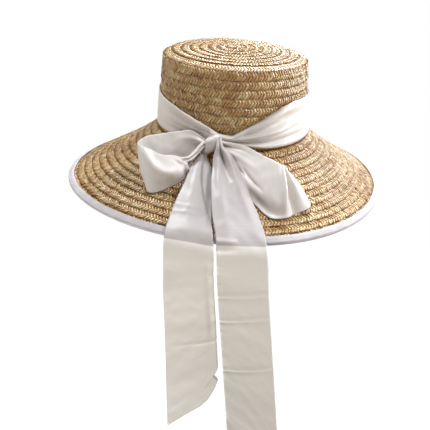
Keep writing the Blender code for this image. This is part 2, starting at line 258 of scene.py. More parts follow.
def keep_flat(mesh, name, corners):
    """Keeps each face corner's place on the flat cloth, as a UV map."""
    layer = mesh.uv_layers.new(name=name)
    layer.data.foreach_set("uv", np.asarray(corners, np.float32).reshape(-1))


def quad_corners(grid):
    """The four corners of each quad of a grid of numbers or of places."""
    return np.stack([grid[:-1, :-1], grid[1:, :-1], grid[1:, 1:], grid[:-1, 1:]], axis=2)


def grid_faces(rows, columns, ring=False, tube=False):
    """Quads between points in rows. A ring joins the last row to the first; a tube, each row."""
    index = np.arange(rows * columns).reshape(rows, columns)
    if ring:
        index = np.vstack([index, index[:1]])
    if tube:
        index = np.hstack([index, index[:, :1]])
    return quad_corners(index).reshape(-1, 4)


OTHER_WAY = [0, 3, 2, 1]  # a quad's corners in the order that turns its face round


def lengths(vectors):
    return np.linalg.norm(vectors, axis=-1)


def running(steps):
    """The distance at each mark, from the steps between the marks."""
    return np.concatenate([[0.0], np.cumsum(steps)])


def baked(piece):
    """The piece with its modifiers turned into plain mesh."""
    graph = bpy.context.evaluated_depsgraph_get()
    mesh = bpy.data.meshes.new_from_object(piece.evaluated_get(graph))
    piece.modifiers.clear()
    piece.data = mesh
    return piece


# %% [markdown]
# Wheat straw is a hollow stem, split and flattened. Its outer skin is waxy, so it shines in small
# streaks, and each stem dries to its own shade, from cream to a red-brown. The shader reads two
# values that the plait carries. "tone" is one random number a link. The other holds the place across
# the straw, the place along it, which is below nought on one of the link's two straws, and the place
# across the plait in millimetres. The place across the straw gives its veins and a painted shade that
# darkens the straw towards its two edges. The place across the plait gives a painted shadow on the
# edge that lies under the next row.

# %% Material: flattened wheat straw
GROOVE = 0.32 * MM
PLAIT_HALF = (BRAID_PITCH - GROOVE + 0.2 * MM) / 2
STRAW_STOPS = (
    (0.0, "#8F5A1E"), (0.26, "#B8853E"), (0.46, "#D2AE69"), (0.66, "#EFDFB6"), (1.0, "#FBF8EC"),
)
PATCHES_A_METRE = 60.0  # a lighter or darker patch about every 17 mm
PATCH_SHARE, PATCH_SHIFT, OWN_SHARE = 0.62, -0.11, 0.30
SECOND_STRAW = 6.3  # spreads the link's tone, so that its second straw gets another one
VEIN_SCALE, VEIN_SHARE = 4.8, 0.14  # about 15 fine veins to each half of a straw
# Painted shadow: how dark the plait's edge under the next row's lap is painted, and over how many
# millimetres.
LAP_PAINTED_SHADOW, LAP_PAINTED_SHADOW_REACH = 0.8, 1.3
# Painted shade: where across a straw its two edges start to be painted darker, and how dark, for the
# gaps between straws.
GAP_PAINTED_SHADE_START, GAP_PAINTED_SHADE = 0.45, 0.52
BROWN_ROUGHNESS, PALE_ROUGHNESS = 0.55, 0.14


def make_straw():
    made, add, shader = new_look(
        "wheat_straw", IOR=1.55, Coat_Weight=1.0, Coat_Roughness=0.25, Coat_IOR=1.7
    )
    tone = add("ShaderNodeAttribute", {"attribute_name": "tone"}).outputs["Fac"]
    grain = add("ShaderNodeAttribute", {"attribute_name": "grain"}).outputs["Vector"]
    parts = add("ShaderNodeSeparateXYZ", Vector=grain).outputs
    place = add("ShaderNodeTexCoord").outputs["Object"]
    patches = add(
        "ShaderNodeTexNoise", Vector=place, Scale=PATCHES_A_METRE, Detail=3.0, Roughness=0.6
    )
    mixed = add(
        "ShaderNodeMath", {"operation": "MULTIPLY_ADD"}, i0=patches, i1=PATCH_SHARE, i2=PATCH_SHIFT
    )
    half = add("ShaderNodeMath", {"operation": "GREATER_THAN"}, i0=parts["Y"], i1=0.0)
    factor = add("ShaderNodeMath", {"operation": "MULTIPLY_ADD"}, i0=half, i1=SECOND_STRAW, i2=1.0)
    scaled = add("ShaderNodeMath", {"operation": "MULTIPLY"}, i0=tone, i1=factor)
    own = add("ShaderNodeMath", {"operation": "FRACT"}, i0=scaled)
    shade = add(
        "ShaderNodeMath", {"operation": "MULTIPLY_ADD", "use_clamp": True},
        i0=own, i1=OWN_SHARE, i2=mixed,
    )
    ramp = add("ShaderNodeValToRGB", Fac=shade)
    set_stops(ramp, STRAW_STOPS)
    veins = add(
        "ShaderNodeTexWave", {"wave_type": "BANDS", "bands_direction": "X"},
        Vector=grain, Scale=VEIN_SCALE, Distortion=1.2, Detail=1.0,
    )
    veined = add(
        "ShaderNodeMix", {"data_type": "RGBA", "blend_type": "MULTIPLY"},
        Factor=VEIN_SHARE, i6=ramp, i7=veins,
    )
    # Painted shadow: the plait's edge that lies under the next row is painted brown, as the lap's
    # shadow.
    edge = -PLAIT_HALF / MM
    painted_lap_shadow = add(
        "ShaderNodeMapRange", Value=parts["Z"], From_Min=edge, From_Max=edge + LAP_PAINTED_SHADOW_REACH,
        To_Min=LAP_PAINTED_SHADOW, To_Max=0.0,
    )
    with_painted_lap_shadow = add(
        "ShaderNodeMix", {"data_type": "RGBA"}, Factor=painted_lap_shadow, i6=veined, i7=linear("#8A6238")
    )
    # Painted shade: each straw is painted darker towards its two edges, as the shade in the gaps
    # between straws.
    aside = add("ShaderNodeMath", {"operation": "ABSOLUTE"}, i0=parts["X"])
    painted_gap_shade = add("ShaderNodeMapRange", Value=aside, From_Min=GAP_PAINTED_SHADE_START, To_Max=GAP_PAINTED_SHADE)
    with_painted_gap_shade = add(
        "ShaderNodeMix", {"data_type": "RGBA"}, Factor=painted_gap_shade, i6=with_painted_lap_shadow, i7=linear("#7A4E1E")
    )
    rough = add(
        "ShaderNodeMapRange", Value=shade, To_Min=BROWN_ROUGHNESS, To_Max=PALE_ROUGHNESS
    )
    bump = add("ShaderNodeBump", Strength=0.25, Distance=0.2 * MM, Height=veins.outputs["Fac"])
    plug(shader, Base_Color=with_painted_gap_shade, Roughness=rough, Normal=bump)
    return made


wheat_straw = make_straw()

# %% [markdown]
# Under the visible straws lie the backs of others, in shadow. They are one smooth shell a little
# inside the wall, so that no light comes through between the straws. Its straw is painted a darker
# brown, as painted shade for that shadow.

# %% Material: straw painted dark for the shade between the rows
FIBRES_A_METRE = 420.0  # a fibre's end or knot about every 2.4 mm


def make_shade_painted_straw():
    made, add, shader = new_look("shaded_straw", Roughness=0.7)
    place = add("ShaderNodeTexCoord").outputs["Object"]
    fibres = add(
        "ShaderNodeTexNoise", Vector=place, Scale=FIBRES_A_METRE, Detail=3.0, Roughness=0.7
    )
    ramp = add("ShaderNodeValToRGB", Fac=fibres)
    # Painted shade: a darker brown than the plait's straw, for the shadow under and between the rows.
    set_stops(ramp, ((0.3, "#7A552C"), (0.75, "#B48C56")))
    bump = add("ShaderNodeBump", Strength=0.4, Distance=0.4 * MM, Height=fibres)
    plug(shader, Base_Color=ramp, Normal=bump)
    return made


shaded_straw = make_shade_painted_straw()

# %% [markdown]
# A straw plait is a flat band of straws that cross from edge to edge. What the eye reads is a row of
# Vs: in each half of the band the straws lean the other way. One link of the band is modelled as two
# flat, slightly domed straws, and Geometry Nodes repeat it along every row.

# %% One link of the plait
PLAIT_STEP = 3.4 * MM
STRAW_LEAN = math.radians(52)
STRAW_DOME = 0.33 * MM
STRAW_EDGE_DROP = 0.26 * MM
STRAW_OVERLAP = 0.25 * MM
CENTRE_CROSSING = 0.8 * MM
GRAIN_RUN, GRAIN_SIDE = 2.0, 10.0
Station = namedtuple("Station", "along width rise")
STRAW_STATIONS = (
    Station(0.00, 1.00, 0.45),
    Station(0.34, 1.00, 1.00),
    Station(0.72, 1.00, 1.00),
    Station(1.00, 0.80, 0.30),
)


def plait_link(name):
    """Two closed straws of 20 triangles each, across X, with the band running along Y."""
    half_width = PLAIT_STEP * math.sin(STRAW_LEAN) / 2 + STRAW_OVERLAP
    reach = PLAIT_HALF / math.tan(STRAW_LEAN) / 2
    count = len(STRAW_STATIONS)
    points, faces, grain = [], [], []
    for side in (-1, 1):
        start = np.array((side * PLAIT_HALF, -reach))
        end = np.array((-side * CENTRE_CROSSING, reach))
        run = unit(end - start)
        aside = np.array((-run[1], run[0])) * half_width
        along_edge = np.array((0.0, half_width / run[0]))
        first = len(points)
        for s in STRAW_STATIONS:
            middle = start + (end - start) * s.along
            for edge in (-1, 0, 1):
                flat = middle + (aside if s.along else along_edge) * edge * s.width
                rise = STRAW_DOME * s.rise
                points.append((flat[0], flat[1], rise if edge == 0 else rise - STRAW_EDGE_DROP))
                # Across the straw (veins and painted edge shade), along it, and across the plait
                # (painted lap shadow).
                grain.append((edge, s.along * GRAIN_RUN + side * GRAIN_SIDE, flat[0] / MM))
        top = grid_faces(count, 3) + first
        rim = [first + 3 * i for i in range(count)] + [first + 3 * count - 2, first + 3 * count - 1]
        rim += [first + 3 * i + 2 for i in range(count - 2, -1, -1)] + [first + 1]
        faces += list(top if side < 0 else top[:, ::-1])
        faces.append(rim if side > 0 else rim[::-1])
    mesh = new_mesh(name, points, faces)
    flat_faces = mesh.attributes.new("sharp_face", "BOOLEAN", "FACE")
    flat_faces.data.foreach_set("value", [len(p.vertices) > 4 for p in mesh.polygons])
    keep(mesh, "grain", "FLOAT_VECTOR", grain)
    return new_piece(name, mesh)


link = plait_link("plait_link")
print("plait link:", len(link.data.polygons), "faces, a step of", round(PLAIT_STEP / MM, 1), "mm")

# %% [markdown]
# The tree below lays the link along rings. Python writes each ring as a loop of edges that carries
# two directions: out of the hat, and across the row. The tree resamples the loop at one link's step,
# turns each copy to those directions, tilts it a little at random, and keeps a random tone for it.

# %% The Geometry Nodes tree that plaits
TONE_SEED_SHIFT = 7.0  # so that a link's tone doesn't go with its size


def plait_tree():
    tree = bpy.data.node_groups.new("plait_rows", "GeometryNodeTree")
    for name, kind in (
        ("Geometry", "Geometry"), ("Link", "Object"), ("Step", "Float"), ("Tilt", "Float"),
        ("Size Spread", "Float"), ("Seed", "Int"), ("Straw", "Material"),
    ):
        tree.interface.new_socket(name, in_out="INPUT", socket_type="NodeSocket" + kind)
    tree.interface.new_socket("Geometry", in_out="OUTPUT", socket_type="NodeSocketGeometry")
    add = partial(add_node, tree)
    given = add("NodeGroupInput").outputs
    tilt, spread, seed = given["Tilt"], given["Size Spread"], given["Seed"]
    face, across = (
        add("GeometryNodeInputNamedAttribute", {"data_type": "FLOAT_VECTOR"}, Name=name)
        for name in ("face", "across")
    )
    curve = add("GeometryNodeMeshToCurve", Mesh=given["Geometry"])
    even = add(
        "GeometryNodeResampleCurve", {"mode": "LENGTH"}, Curve=curve, Length=given["Step"]
    )
    turn = add(
        "FunctionNodeAxesToRotation", {"primary_axis": "Z", "secondary_axis": "X"},
        i0=face, i1=across,
    )
    down = add("ShaderNodeMath", {"operation": "MULTIPLY"}, i0=tilt, i1=-1.0)
    least, most = (add("ShaderNodeCombineXYZ", X=angle, Y=angle, Z=angle) for angle in (down, tilt))
    sway = add(
        "FunctionNodeRandomValue", {"data_type": "FLOAT_VECTOR"}, i0=least, i1=most, Seed=seed
    )
    swayed = add(
        "FunctionNodeRotateRotation", {"rotation_space": "LOCAL"}, Rotation=turn, Rotate_By=sway
    )
    small, large = (
        add("ShaderNodeMath", {"operation": kind}, i0=1.0, i1=spread)
        for kind in ("SUBTRACT", "ADD")
    )
    size = add(
        "FunctionNodeRandomValue", {"data_type": "FLOAT"}, i2=small, i3=large, Seed=seed
    )
    shape = add("GeometryNodeObjectInfo", Object=given["Link"]).outputs["Geometry"]
    copies = add(
        "GeometryNodeInstanceOnPoints", Points=even, Instance=shape, Rotation=swayed, Scale=size
    )
    later = add("ShaderNodeMath", {"operation": "ADD"}, i0=seed, i1=TONE_SEED_SHIFT)
    tone = add("FunctionNodeRandomValue", {"data_type": "FLOAT"}, i2=0.0, i3=1.0, Seed=later)
    toned = add(
        "GeometryNodeStoreNamedAttribute", {"data_type": "FLOAT", "domain": "INSTANCE"},
        Geometry=copies, Name="tone", Value=tone,
    )
    real = add("GeometryNodeRealizeInstances", Geometry=toned)
    painted = add("GeometryNodeSetMaterial", Geometry=real, Material=given["Straw"])
    add("NodeGroupOutput", i0=painted)
    return tree


PLAIT_ROWS = plait_tree()


def with_tree(piece, tree, **inputs):
    """Gives the piece a Geometry Nodes modifier with these inputs, and makes it plain mesh."""
    modifier = piece.modifiers.new(tree.name, "NODES")
    modifier.node_group = tree
    for item in tree.interface.items_tree:
        name = item.name.replace(" ", "_")
        if item.in_out == "INPUT" and name in inputs:
            modifier[item.identifier] = inputs[name]
    piece.update_tag()
    return baked(piece)


# %% [markdown]
# Each row of the hat is one ring. Seen from outside, a row's lower edge laps over the row below it
# and casts the thin dark line between them. The edge isn't perfect: it wanders by a few tenths of a
# millimetre, as a hand-guided sewing machine leaves it, so the rings carry a small seeded wobble.

# %% Rings of braid on a surface
LIP = 0.55 * MM
TIP_LIP = 0.35 * MM
RING_POINTS = 240
PUCKER_TURNS = (12, 34)
WANDER_TURNS = (9, 30)
USUAL_LAY = (1.0, 0.2 * MM, LIP, 0.22 * MM, 6.0)
Lay = namedtuple("Lay", "last pucker lip wander tilt", defaults=USUAL_LAY)


def wobble(random, angles, turns):
    """A smooth closed wave of unit height, of several turns round the hat."""
    waves = sum(np.sin(t * angles + random.uniform(0, math.tau)) for t in turns)
    return waves / math.sqrt(len(turns) / 2) / 2


def lay_rings(name, surface, rows, depth, inside, seed, lay):
    """Loops of edges for so many rows of a surface, sunk by depth, each tilted by its lap."""
    random = np.random.default_rng(seed)
    angles = np.linspace(0, math.tau, RING_POINTS, endpoint=False)
    points, edges, faces, acrosses = [], [], [], []
    for row in range(rows):
        high = surface(lay.last * row / rows, angles)
        low = surface(lay.last * (row + 1) / rows, angles)
        face, across = outward(surface, lay.last * (row + 0.5) / rows, angles)
        tucked, proud = (low + face * lay.lip, high) if inside else (high - face * lay.lip, low)
        bumps = wobble(random, angles, random.integers(*PUCKER_TURNS, 6))[:, None] * lay.pucker
        wander = wobble(random, angles, random.integers(*WANDER_TURNS, 6))[:, None] * lay.wander
        edge = unit(proud - tucked)
        middle = (tucked + proud) / 2 + face * (bumps - depth) + across * wander + edge * GROOVE / 2
        along = np.roll(middle, -1, axis=0) - np.roll(middle, 1, axis=0)
        ring = np.arange(RING_POINTS)
        edges.append(row * RING_POINTS + np.stack([ring, np.roll(ring, -1)], axis=1))
        points.append(middle)
        faces.append(unit(np.cross(edge, along)))
        acrosses.append(edge)
    mesh = bpy.data.meshes.new(name)
    mesh.from_pydata(np.concatenate(points).tolist(), np.concatenate(edges).tolist(), [])
    keep(mesh, "face", "FLOAT_VECTOR", np.concatenate(faces))
    keep(mesh, "across", "FLOAT_VECTOR", np.concatenate(acrosses))
    return new_piece(name, mesh)


TIP_ROWS = round((TOP_RADIUS - SHOULDER) / BRAID_PITCH)
SIDE_ROWS = round((CROWN_HEIGHT - SHOULDER) / BRAID_PITCH)
BRIM_ROWS = round(math.hypot(BRIM_REACH, BRIM_DROP) / BRAID_PITCH)
STRAW_DEPTH = 0.35 * MM
BRIM_END = 1 - (BINDING_CLOTH + GAP) / BRIM_REACH
INNER_STEP = 4.2 * MM
SIZE_SPREAD = 0.04


def plait(name, surface, rows, seed, inside=False, lay=Lay()):
    depth = WALL - STRAW_DEPTH if inside else STRAW_DEPTH
    piece = lay_rings(name, surface, rows, depth, inside, seed, lay)
    with_tree(
        piece, PLAIT_ROWS, Link=link, Step=INNER_STEP if inside else PLAIT_STEP,
        Tilt=math.radians(lay.tilt), Size_Spread=SIZE_SPREAD, Seed=seed, Straw=wheat_straw,
    )
    print(name, "has", len(piece.data.polygons), "faces")
    return piece


FLAT_LAY = Lay(pucker=0.08 * MM, lip=TIP_LIP, wander=0.12 * MM, tilt=4.0)
tip_braid = plait("tip_braid", on_tip, TIP_ROWS, 11, lay=FLAT_LAY)
side_braid = plait("side_braid", on_side, SIDE_ROWS, 12)
brim_braid = plait("brim_braid", on_brim, BRIM_ROWS, 13, lay=Lay(BRIM_END, 0.25 * MM))
under_braid = plait("under_braid", on_brim, BRIM_ROWS, 14, inside=True, lay=Lay(BRIM_END))
side_inner_braid = plait("side_inner_braid", on_side, SIDE_ROWS, 15, inside=True)
tip_inner_braid = plait("tip_inner_braid", on_tip, TIP_ROWS, 16, inside=True)
bpy.data.objects.remove(link)

# %% [markdown]
# The shells that close the straw are turned like pottery: an outline, a Screw modifier, and then each
# point is moved to the hat's oval and tilt.

# %% The shells under the straw
SHELL_SIDES = 144
SHELL_INSET = 0.85 * MM
FOOT_LAP = 1.5 * MM
WELD = 0.02 * MM
SHARP_ANGLE = math.radians(40)
NUDGE = 0.001  # the share of a path to each side that gives its slope


def turned_shell(name, outline, on_brim_side, look):
    guide = bpy.data.meshes.new(name)
    count = len(outline)
    edges = [(i, i + 1) for i in range(count - 1)]
    if outline[0][0] > 0:
        edges.append((count - 1, 0))
    guide.from_pydata([(x, 0.0, z) for x, z in outline], edges, [])
    piece = new_piece(name, guide)
    screw = piece.modifiers.new("turn", "SCREW")
    screw.steps = screw.render_steps = SHELL_SIDES
    screw.use_merge_vertices = True
    screw.merge_threshold = WELD
    baked(piece)
    points = np.empty(len(piece.data.vertices) * 3)
    piece.data.vertices.foreach_get("co", points)
    x, y, z = points.reshape(-1, 3).T
    radius = np.hypot(x, y)
    out = np.maximum((radius - BASE_RADIUS) / BRIM_REACH, 0.0) if on_brim_side else 0.0
    piece.data.vertices.foreach_set("co", worn(radius, np.arctan2(x, -y), z, out).reshape(-1))
    piece.data.materials.clear()
    piece.data.materials.append(look)
    piece.data.shade_smooth()
    piece.data.set_sharp_from_angle(angle=SHARP_ANGLE)
    print(name, "has", len(piece.data.polygons), "faces")
    return piece


def lapped(path, rows, last, top, under):
    """Outlines of a surface's two sides, sunk under the straw, with a step at each row's lap."""
    for row in range(rows):
        for share, lap in ((row / rows, LIP), ((row + 1) / rows, 0.0)):
            share = share * last
            (x0, z0), (x1, z1) = path(share - NUDGE), path(share + NUDGE)
            x, z = path(share)
            span = math.hypot(x1 - x0, z1 - z0)
            nx, nz = (z0 - z1) / span, (x1 - x0) / span
            over, back = SHELL_INSET + lap, WALL - SHELL_INSET - LIP + lap
            top.append((max(x - nx * over, 0.0), z - nz * over))
            under.append((max(x - nx * back, 0.0), z - nz * back))


def crown_outline():
    top, under = [], []
    lapped(tip_path, TIP_ROWS, 1.0, top, under)
    lapped(side_path, SIDE_ROWS, 1.0, top, under)
    top.append((top[-1][0], -FOOT_LAP))
    under.append((under[-1][0], -FOOT_LAP))
    return top + under[::-1]


def brim_outline():
    top = [(BASE_RADIUS - WALL + SHELL_INSET, -GAP - SHELL_INSET)]
    under = [(BASE_RADIUS - WALL + SHELL_INSET, -WALL + SHELL_INSET)]
    lapped(brim_path, BRIM_ROWS, BRIM_END, top, under)
    return top + under[::-1]


crown_shell = turned_shell("crown_shell", crown_outline(), False, shaded_straw)
brim_shell = turned_shell("brim_shell", brim_outline(), True, shaded_straw)

# %% [markdown]
# The rim is bound with a cotton tape cut on the bias, so that it stretches round the curve. It is
# folded over the edge, and its weave crosses the tape at 45 degrees. Where it takes up the curve it
# puckers a little. The weave is too fine to show, so it is drawn at twice its real spacing.

# %% Material: bias-cut cotton binding
WEAVE_SPACING = 0.9 * MM
WEAR_A_METRE = 60.0  # a slightly greyer patch about every 17 mm


def make_binding():
    made, add, shader = new_look("bias_cotton", Roughness=0.85, IOR=1.4)
    laid = add("ShaderNodeUVMap", {"uv_map": "tape"})
    threads = []
    for angle in (45, -45):
        turned_over = add(
            "ShaderNodeMapping", Vector=laid, Rotation=(0.0, 0.0, math.radians(angle))
        )
        wave = add(
            "ShaderNodeTexWave", {"wave_type": "BANDS", "bands_direction": "X"},
            Vector=turned_over, Scale=band_scale(WEAVE_SPACING), Distortion=0.4,
        )
        threads.append(wave.outputs["Fac"])
    weave = add("ShaderNodeMath", {"operation": "MAXIMUM"}, i0=threads[0], i1=threads[1])
    place = add("ShaderNodeTexCoord").outputs["Object"]
    worn_in = add("ShaderNodeTexNoise", Vector=place, Scale=WEAR_A_METRE, Detail=3.0)
    ramp = add("ShaderNodeValToRGB", Fac=worn_in)
    set_stops(ramp, ((0.3, "#B8B2B4"), (0.7, "#C8C2C5")))
    bump = add("ShaderNodeBump", Strength=0.35, Distance=0.2 * MM, Height=weave)
    plug(shader, Base_Color=ramp, Normal=bump)
    return made


bias_cotton = make_binding()

# %% The binding round the rim
TAPE_STATIONS = 288
TAPE_PUCKER = 0.22 * MM
TAPE_WANDER = 0.25 * MM
TAPE_ROUND = 1.6 * MM
TAPE_INSIDE = 1.3 * BINDING_CLOTH
TAPE_SEED = 21
PUCKERS_ROUND, SWAYS_ROUND = (60, 140, 10), (9, 25, 5)  # turns from, to below, and how many
SOFTER = 0.3  # the puckers' share where the tape lies against the straw
NEAR = 0.01 * MM


def tape_outline(over, under):
    """The folded tape's section, as the distance in from the rim and the height."""
    middle, half = (over + under) / 2, (over - under) / 2
    outline = [
        (BINDING_WIDTH, over - BINDING_CLOTH),
        (BINDING_WIDTH + 0.1 * MM, over - 0.45 * BINDING_CLOTH),
        (BINDING_WIDTH - 0.4 * MM, over),
        (BINDING_WIDTH * 0.6, over),
        (BINDING_WIDTH * 0.3, over),
    ]
    for turn in map(math.radians, np.linspace(90, -90, 9)):
        outline.append((TAPE_ROUND - TAPE_ROUND * math.cos(turn), middle + half * math.sin(turn)))
    return outline + [
        (BINDING_WIDTH * 0.5, under),
        (BINDING_WIDTH, under),
        (BINDING_WIDTH, under + BINDING_CLOTH),
        (TAPE_INSIDE, under + BINDING_CLOTH),
        (TAPE_INSIDE, over - BINDING_CLOTH),
    ]


def make_tape():
    """A channel round the rim: the tape's section, swept with small seeded puckers."""
    random = np.random.default_rng(TAPE_SEED)
    angles = np.linspace(0, math.tau, TAPE_STATIONS, endpoint=False)
    edge = on_brim(1.0, angles)
    face, across = outward(on_brim, 1.0, angles)
    over, under = GAP + BINDING_CLOTH, -WALL - GAP - BINDING_CLOTH
    outline = tape_outline(over, under)
    ripple = wobble(random, angles, random.integers(*PUCKERS_ROUND))
    slow = wobble(random, angles, random.integers(*SWAYS_ROUND))
    grid = np.empty((TAPE_STATIONS, len(outline), 3))
    for j, (back, up) in enumerate(outline):
        sway = slow * TAPE_WANDER * (back > BINDING_WIDTH * 0.5)
        puff = ripple * TAPE_PUCKER * (SOFTER if under + NEAR < up < over - NEAR else 1.0)
        lift = up + puff * (1 if up > (over + under) / 2 else -1)
        grid[:, j] = edge - across * (back + sway)[:, None] + face * lift[:, None]
    faces = grid_faces(TAPE_STATIONS, len(outline), ring=True, tube=True)[:, OTHER_WAY]
    mesh = new_mesh("rim_tape", grid, faces)
    girth = running(lengths(np.diff(np.vstack([grid[0], grid[0, :1]]), axis=0)))
    round_rim = np.arange(TAPE_STATIONS + 1) / TAPE_STATIONS * math.tau * (BASE_RADIUS + BRIM_REACH)
    flat = np.stack(np.meshgrid(round_rim, girth, indexing="ij"), axis=-1)
    keep_flat(mesh, "tape", quad_corners(flat)[:, :, OTHER_WAY])
    return new_piece("rim_tape", mesh, bias_cotton)


rim_tape = make_tape()
print("rim tape:", len(rim_tape.data.polygons), "faces")

# %% [markdown]
# The ribbon is polyester satin. Its long floats lie along the ribbon, so it is smooth, with a broad
# soft highlight, and it shows every crease. The band and the loops are a warm white. Over the brim
# the tails are painted greyer, as painted shade on the same ribbon. Where they hang free they are
# painted a brighter ivory, so their colour turns at the rim as painted light. They darken towards
# their ends. The fine ribs are drawn at a few times their real spacing, so that they show at all.

# %% Material: satin ribbon
SATIN_STOPS = ((0.3, "#D8D0CA"), (0.7, "#E5DFD9"))
# Painted shade: the tails' satin over the brim is a greyer copy of the band's white.
TAIL_PAINTED_SHADE_STOPS = ((0.3, "#BBB4B1"), (0.7, "#C5BFBD"))
HANGING_STOPS = ((0.0, "#F1ECE3"), (1.0, "#BEB9B3"))
TURNS_IVORY = 0.0015  # half the share of a tail's length over which its colour changes
CLOUDS_A_METRE = 22.0  # a cloud about every 45 mm
CREASE_SCALE = (18.0, 150.0, 1.0)  # soft creases 56 mm wide and 7 mm long
RIB_SPACING = 0.7 * MM


def make_satin(name, stops, coat, hanging=None):
    made, add, shader = new_look(
        name, Roughness=0.40, IOR=1.5, Coat_Weight=coat, Coat_Roughness=0.3, Sheen_Weight=0.06,
        Sheen_Roughness=0.4,
    )
    laid = add("ShaderNodeUVMap", {"uv_map": "ribbon"})
    place = add("ShaderNodeTexCoord").outputs["Object"]
    cloudy = add("ShaderNodeTexNoise", Vector=place, Scale=CLOUDS_A_METRE, Detail=2.0)
    colour = add("ShaderNodeValToRGB", Fac=cloudy)
    set_stops(colour, stops)
    # Painted light and shade: past the rim the tails turn from that greyer colour to a brighter
    # ivory.
    if hanging:
        drop = add("ShaderNodeAttribute", {"attribute_name": "drop"}).outputs["Fac"]
        below = add("ShaderNodeValToRGB", Fac=drop)
        set_stops(below, hanging)
        edge = add("ShaderNodeMapRange", Value=drop, From_Min=-TURNS_IVORY, From_Max=TURNS_IVORY)
        colour = add("ShaderNodeMix", {"data_type": "RGBA"}, Factor=edge, i6=colour, i7=below)
    stretched = add("ShaderNodeMapping", Vector=laid, Scale=CREASE_SCALE)
    creases = add("ShaderNodeTexNoise", Vector=stretched, Scale=1.0, Detail=3.0, Roughness=0.5)
    ribs = add(
        "ShaderNodeTexWave", {"wave_type": "BANDS", "bands_direction": "Y"},
        Vector=laid, Scale=band_scale(RIB_SPACING), Distortion=0.6, Detail=1.0,
    ).outputs["Fac"]
    soft = add("ShaderNodeBump", Strength=0.25, Distance=1.2 * MM, Height=creases)
    fine = add("ShaderNodeBump", Strength=0.12, Distance=0.1 * MM, Height=ribs, Normal=soft)
    plug(shader, Base_Color=colour, Normal=fine)
    return made


satin = make_satin("polyester_satin", SATIN_STOPS, 0.2)
tail_satin = make_satin("polyester_satin_tail", TAIL_PAINTED_SHADE_STOPS, 0.1, HANGING_STOPS)

# %% [markdown]
# Every ribbon piece is a grid: stations along the ribbon, columns across it. A short table gives the
# two edges at a few stations, and a smooth curve runs through them. What the cloth does between its
# edges is a second table, with three kinds of line. A fold is a ridge or a valley that runs along the
# ribbon, as gathers fan out from a knot. A pleat is a step: all the cloth past the line lies lower. A
# crease runs across the ribbon. Heights are shares of the ribbon's width.

# %% Ribbon helpers
Fold = namedtuple("Fold", "width path")
Pleat = namedtuple("Pleat", "width path")
Crease = namedtuple("Crease", "width path")
LIE_WAVES = 14
LIE_LENGTHS = (9 * MM, 60 * MM)
LIE_TURN = 1.1


def through(rows, steps):
    """A smooth curve through rows of points: the stations, and each one's share of the way."""
    rows = np.array(rows, float)
    marks = running(lengths(np.diff(rows, axis=0)).mean(axis=1))
    slopes = np.gradient(rows, marks, axis=0)
    made, places = [], []
    for i, width in enumerate(np.diff(marks)):
        count = max(3, round(width / steps))
        for t in np.arange(count) / count:
            places.append(marks[i] + t * width)
            made.append(
                (2 * t**3 - 3 * t**2 + 1) * rows[i] + (t**3 - 2 * t**2 + t) * width * slopes[i]
                + (3 * t**2 - 2 * t**3) * rows[i + 1] + (t**3 - t**2) * width * slopes[i + 1]
            )
    made.append(rows[-1])
    places.append(marks[-1])
    return np.array(made), np.array(places) / marks[-1], marks / marks[-1]


def relief(lines, along, across):
    """The lie of the cloth over a grid of shares. A path's rows are (along, across, height)."""
    height = np.zeros((len(along), len(across)))
    for line in lines:
        path = np.array(line.path, float)
        if isinstance(line, Crease):
            path = path[np.argsort(path[:, 1])]
            place = np.interp(across, path[:, 1], path[:, 0])[None]
            rise = np.interp(across, path[:, 1], path[:, 2], 0.0, 0.0)[None]
            offset = (along[:, None] - place) / line.width
        else:
            place = np.interp(along, path[:, 0], path[:, 1])[:, None]
            rise = np.interp(along, path[:, 0], path[:, 2], 0.0, 0.0)[:, None]
            offset = (across[None] - place) / line.width
        is_step = isinstance(line, Pleat)
        height += rise * ((1 + np.tanh(offset)) / 2 if is_step else np.exp(-np.square(offset)))
    return height


def soft_lie(edges, columns, seed, strength):
    """Small smooth unevenness over the cloth, in metres, the long waves higher than the short."""
    random = np.random.default_rng(seed)
    run = running(lengths(np.diff(edges.mean(axis=1), axis=0)))[:, None]
    side = np.linspace(0, RIBBON_WIDTH, columns)[None]
    height = np.zeros((len(run), columns))
    for length in np.geomspace(*LIE_LENGTHS, LIE_WAVES):
        turn = random.uniform(-LIE_TURN, LIE_TURN)
        phase = (run * math.cos(turn) + side * math.sin(turn)) / length * math.tau
        height += np.sin(phase + random.uniform(0, math.tau)) * length * strength
    return height


def gathers(edges, shares, count, take_up):
    """Even folds that take up this share of the ribbon's width where its edges come together."""
    width = lengths(edges[:, 1] - edges[:, 0])
    spare = np.maximum(np.square(take_up * RIBBON_WIDTH) - np.square(width), 0.0)
    return (np.sqrt(spare) / (4 * count))[:, None] * np.sin(math.tau * count * shares)[None]


def ribbon(name, grid, look, ring=False, drop=None):
    """A piece of ribbon through a grid of points, with its thickness and its own UV map."""
    rows, columns = grid.shape[:2]
    mesh = new_mesh(name, grid, grid_faces(rows, columns, ring))
    along = running(lengths(np.diff(grid, axis=0)).mean(axis=1))
    if ring:
        along = np.append(along, along[-1] + lengths(grid[0] - grid[-1]).mean())
    flat = np.stack(np.meshgrid(np.linspace(0, RIBBON_WIDTH, columns), along), axis=-1)
    keep_flat(mesh, "ribbon", quad_corners(flat))
    if drop is not None:
        keep(mesh, "drop", "FLOAT", drop)
    piece = new_piece(name, mesh, look)
    cloth = piece.modifiers.new("cloth", "SOLIDIFY")
    cloth.thickness = RIBBON_CLOTH
    cloth.offset = 0.0
    baked(piece)
    print(name, "is", round(along[-1] / MM), "mm long and has", len(piece.data.polygons), "faces")
    return piece


def facing(edges):
    """The way that a ribbon's upper side faces at each station."""
    return unit(np.cross(np.gradient(edges.mean(axis=1), axis=0), edges[:, 1] - edges[:, 0]))


# %% [markdown]
# The band lies round the crown's foot. To the left of the knot it is flat and smooth. To the right it
# is gathered into the knot: three long valleys fan out from there, and a few folds lie over them.

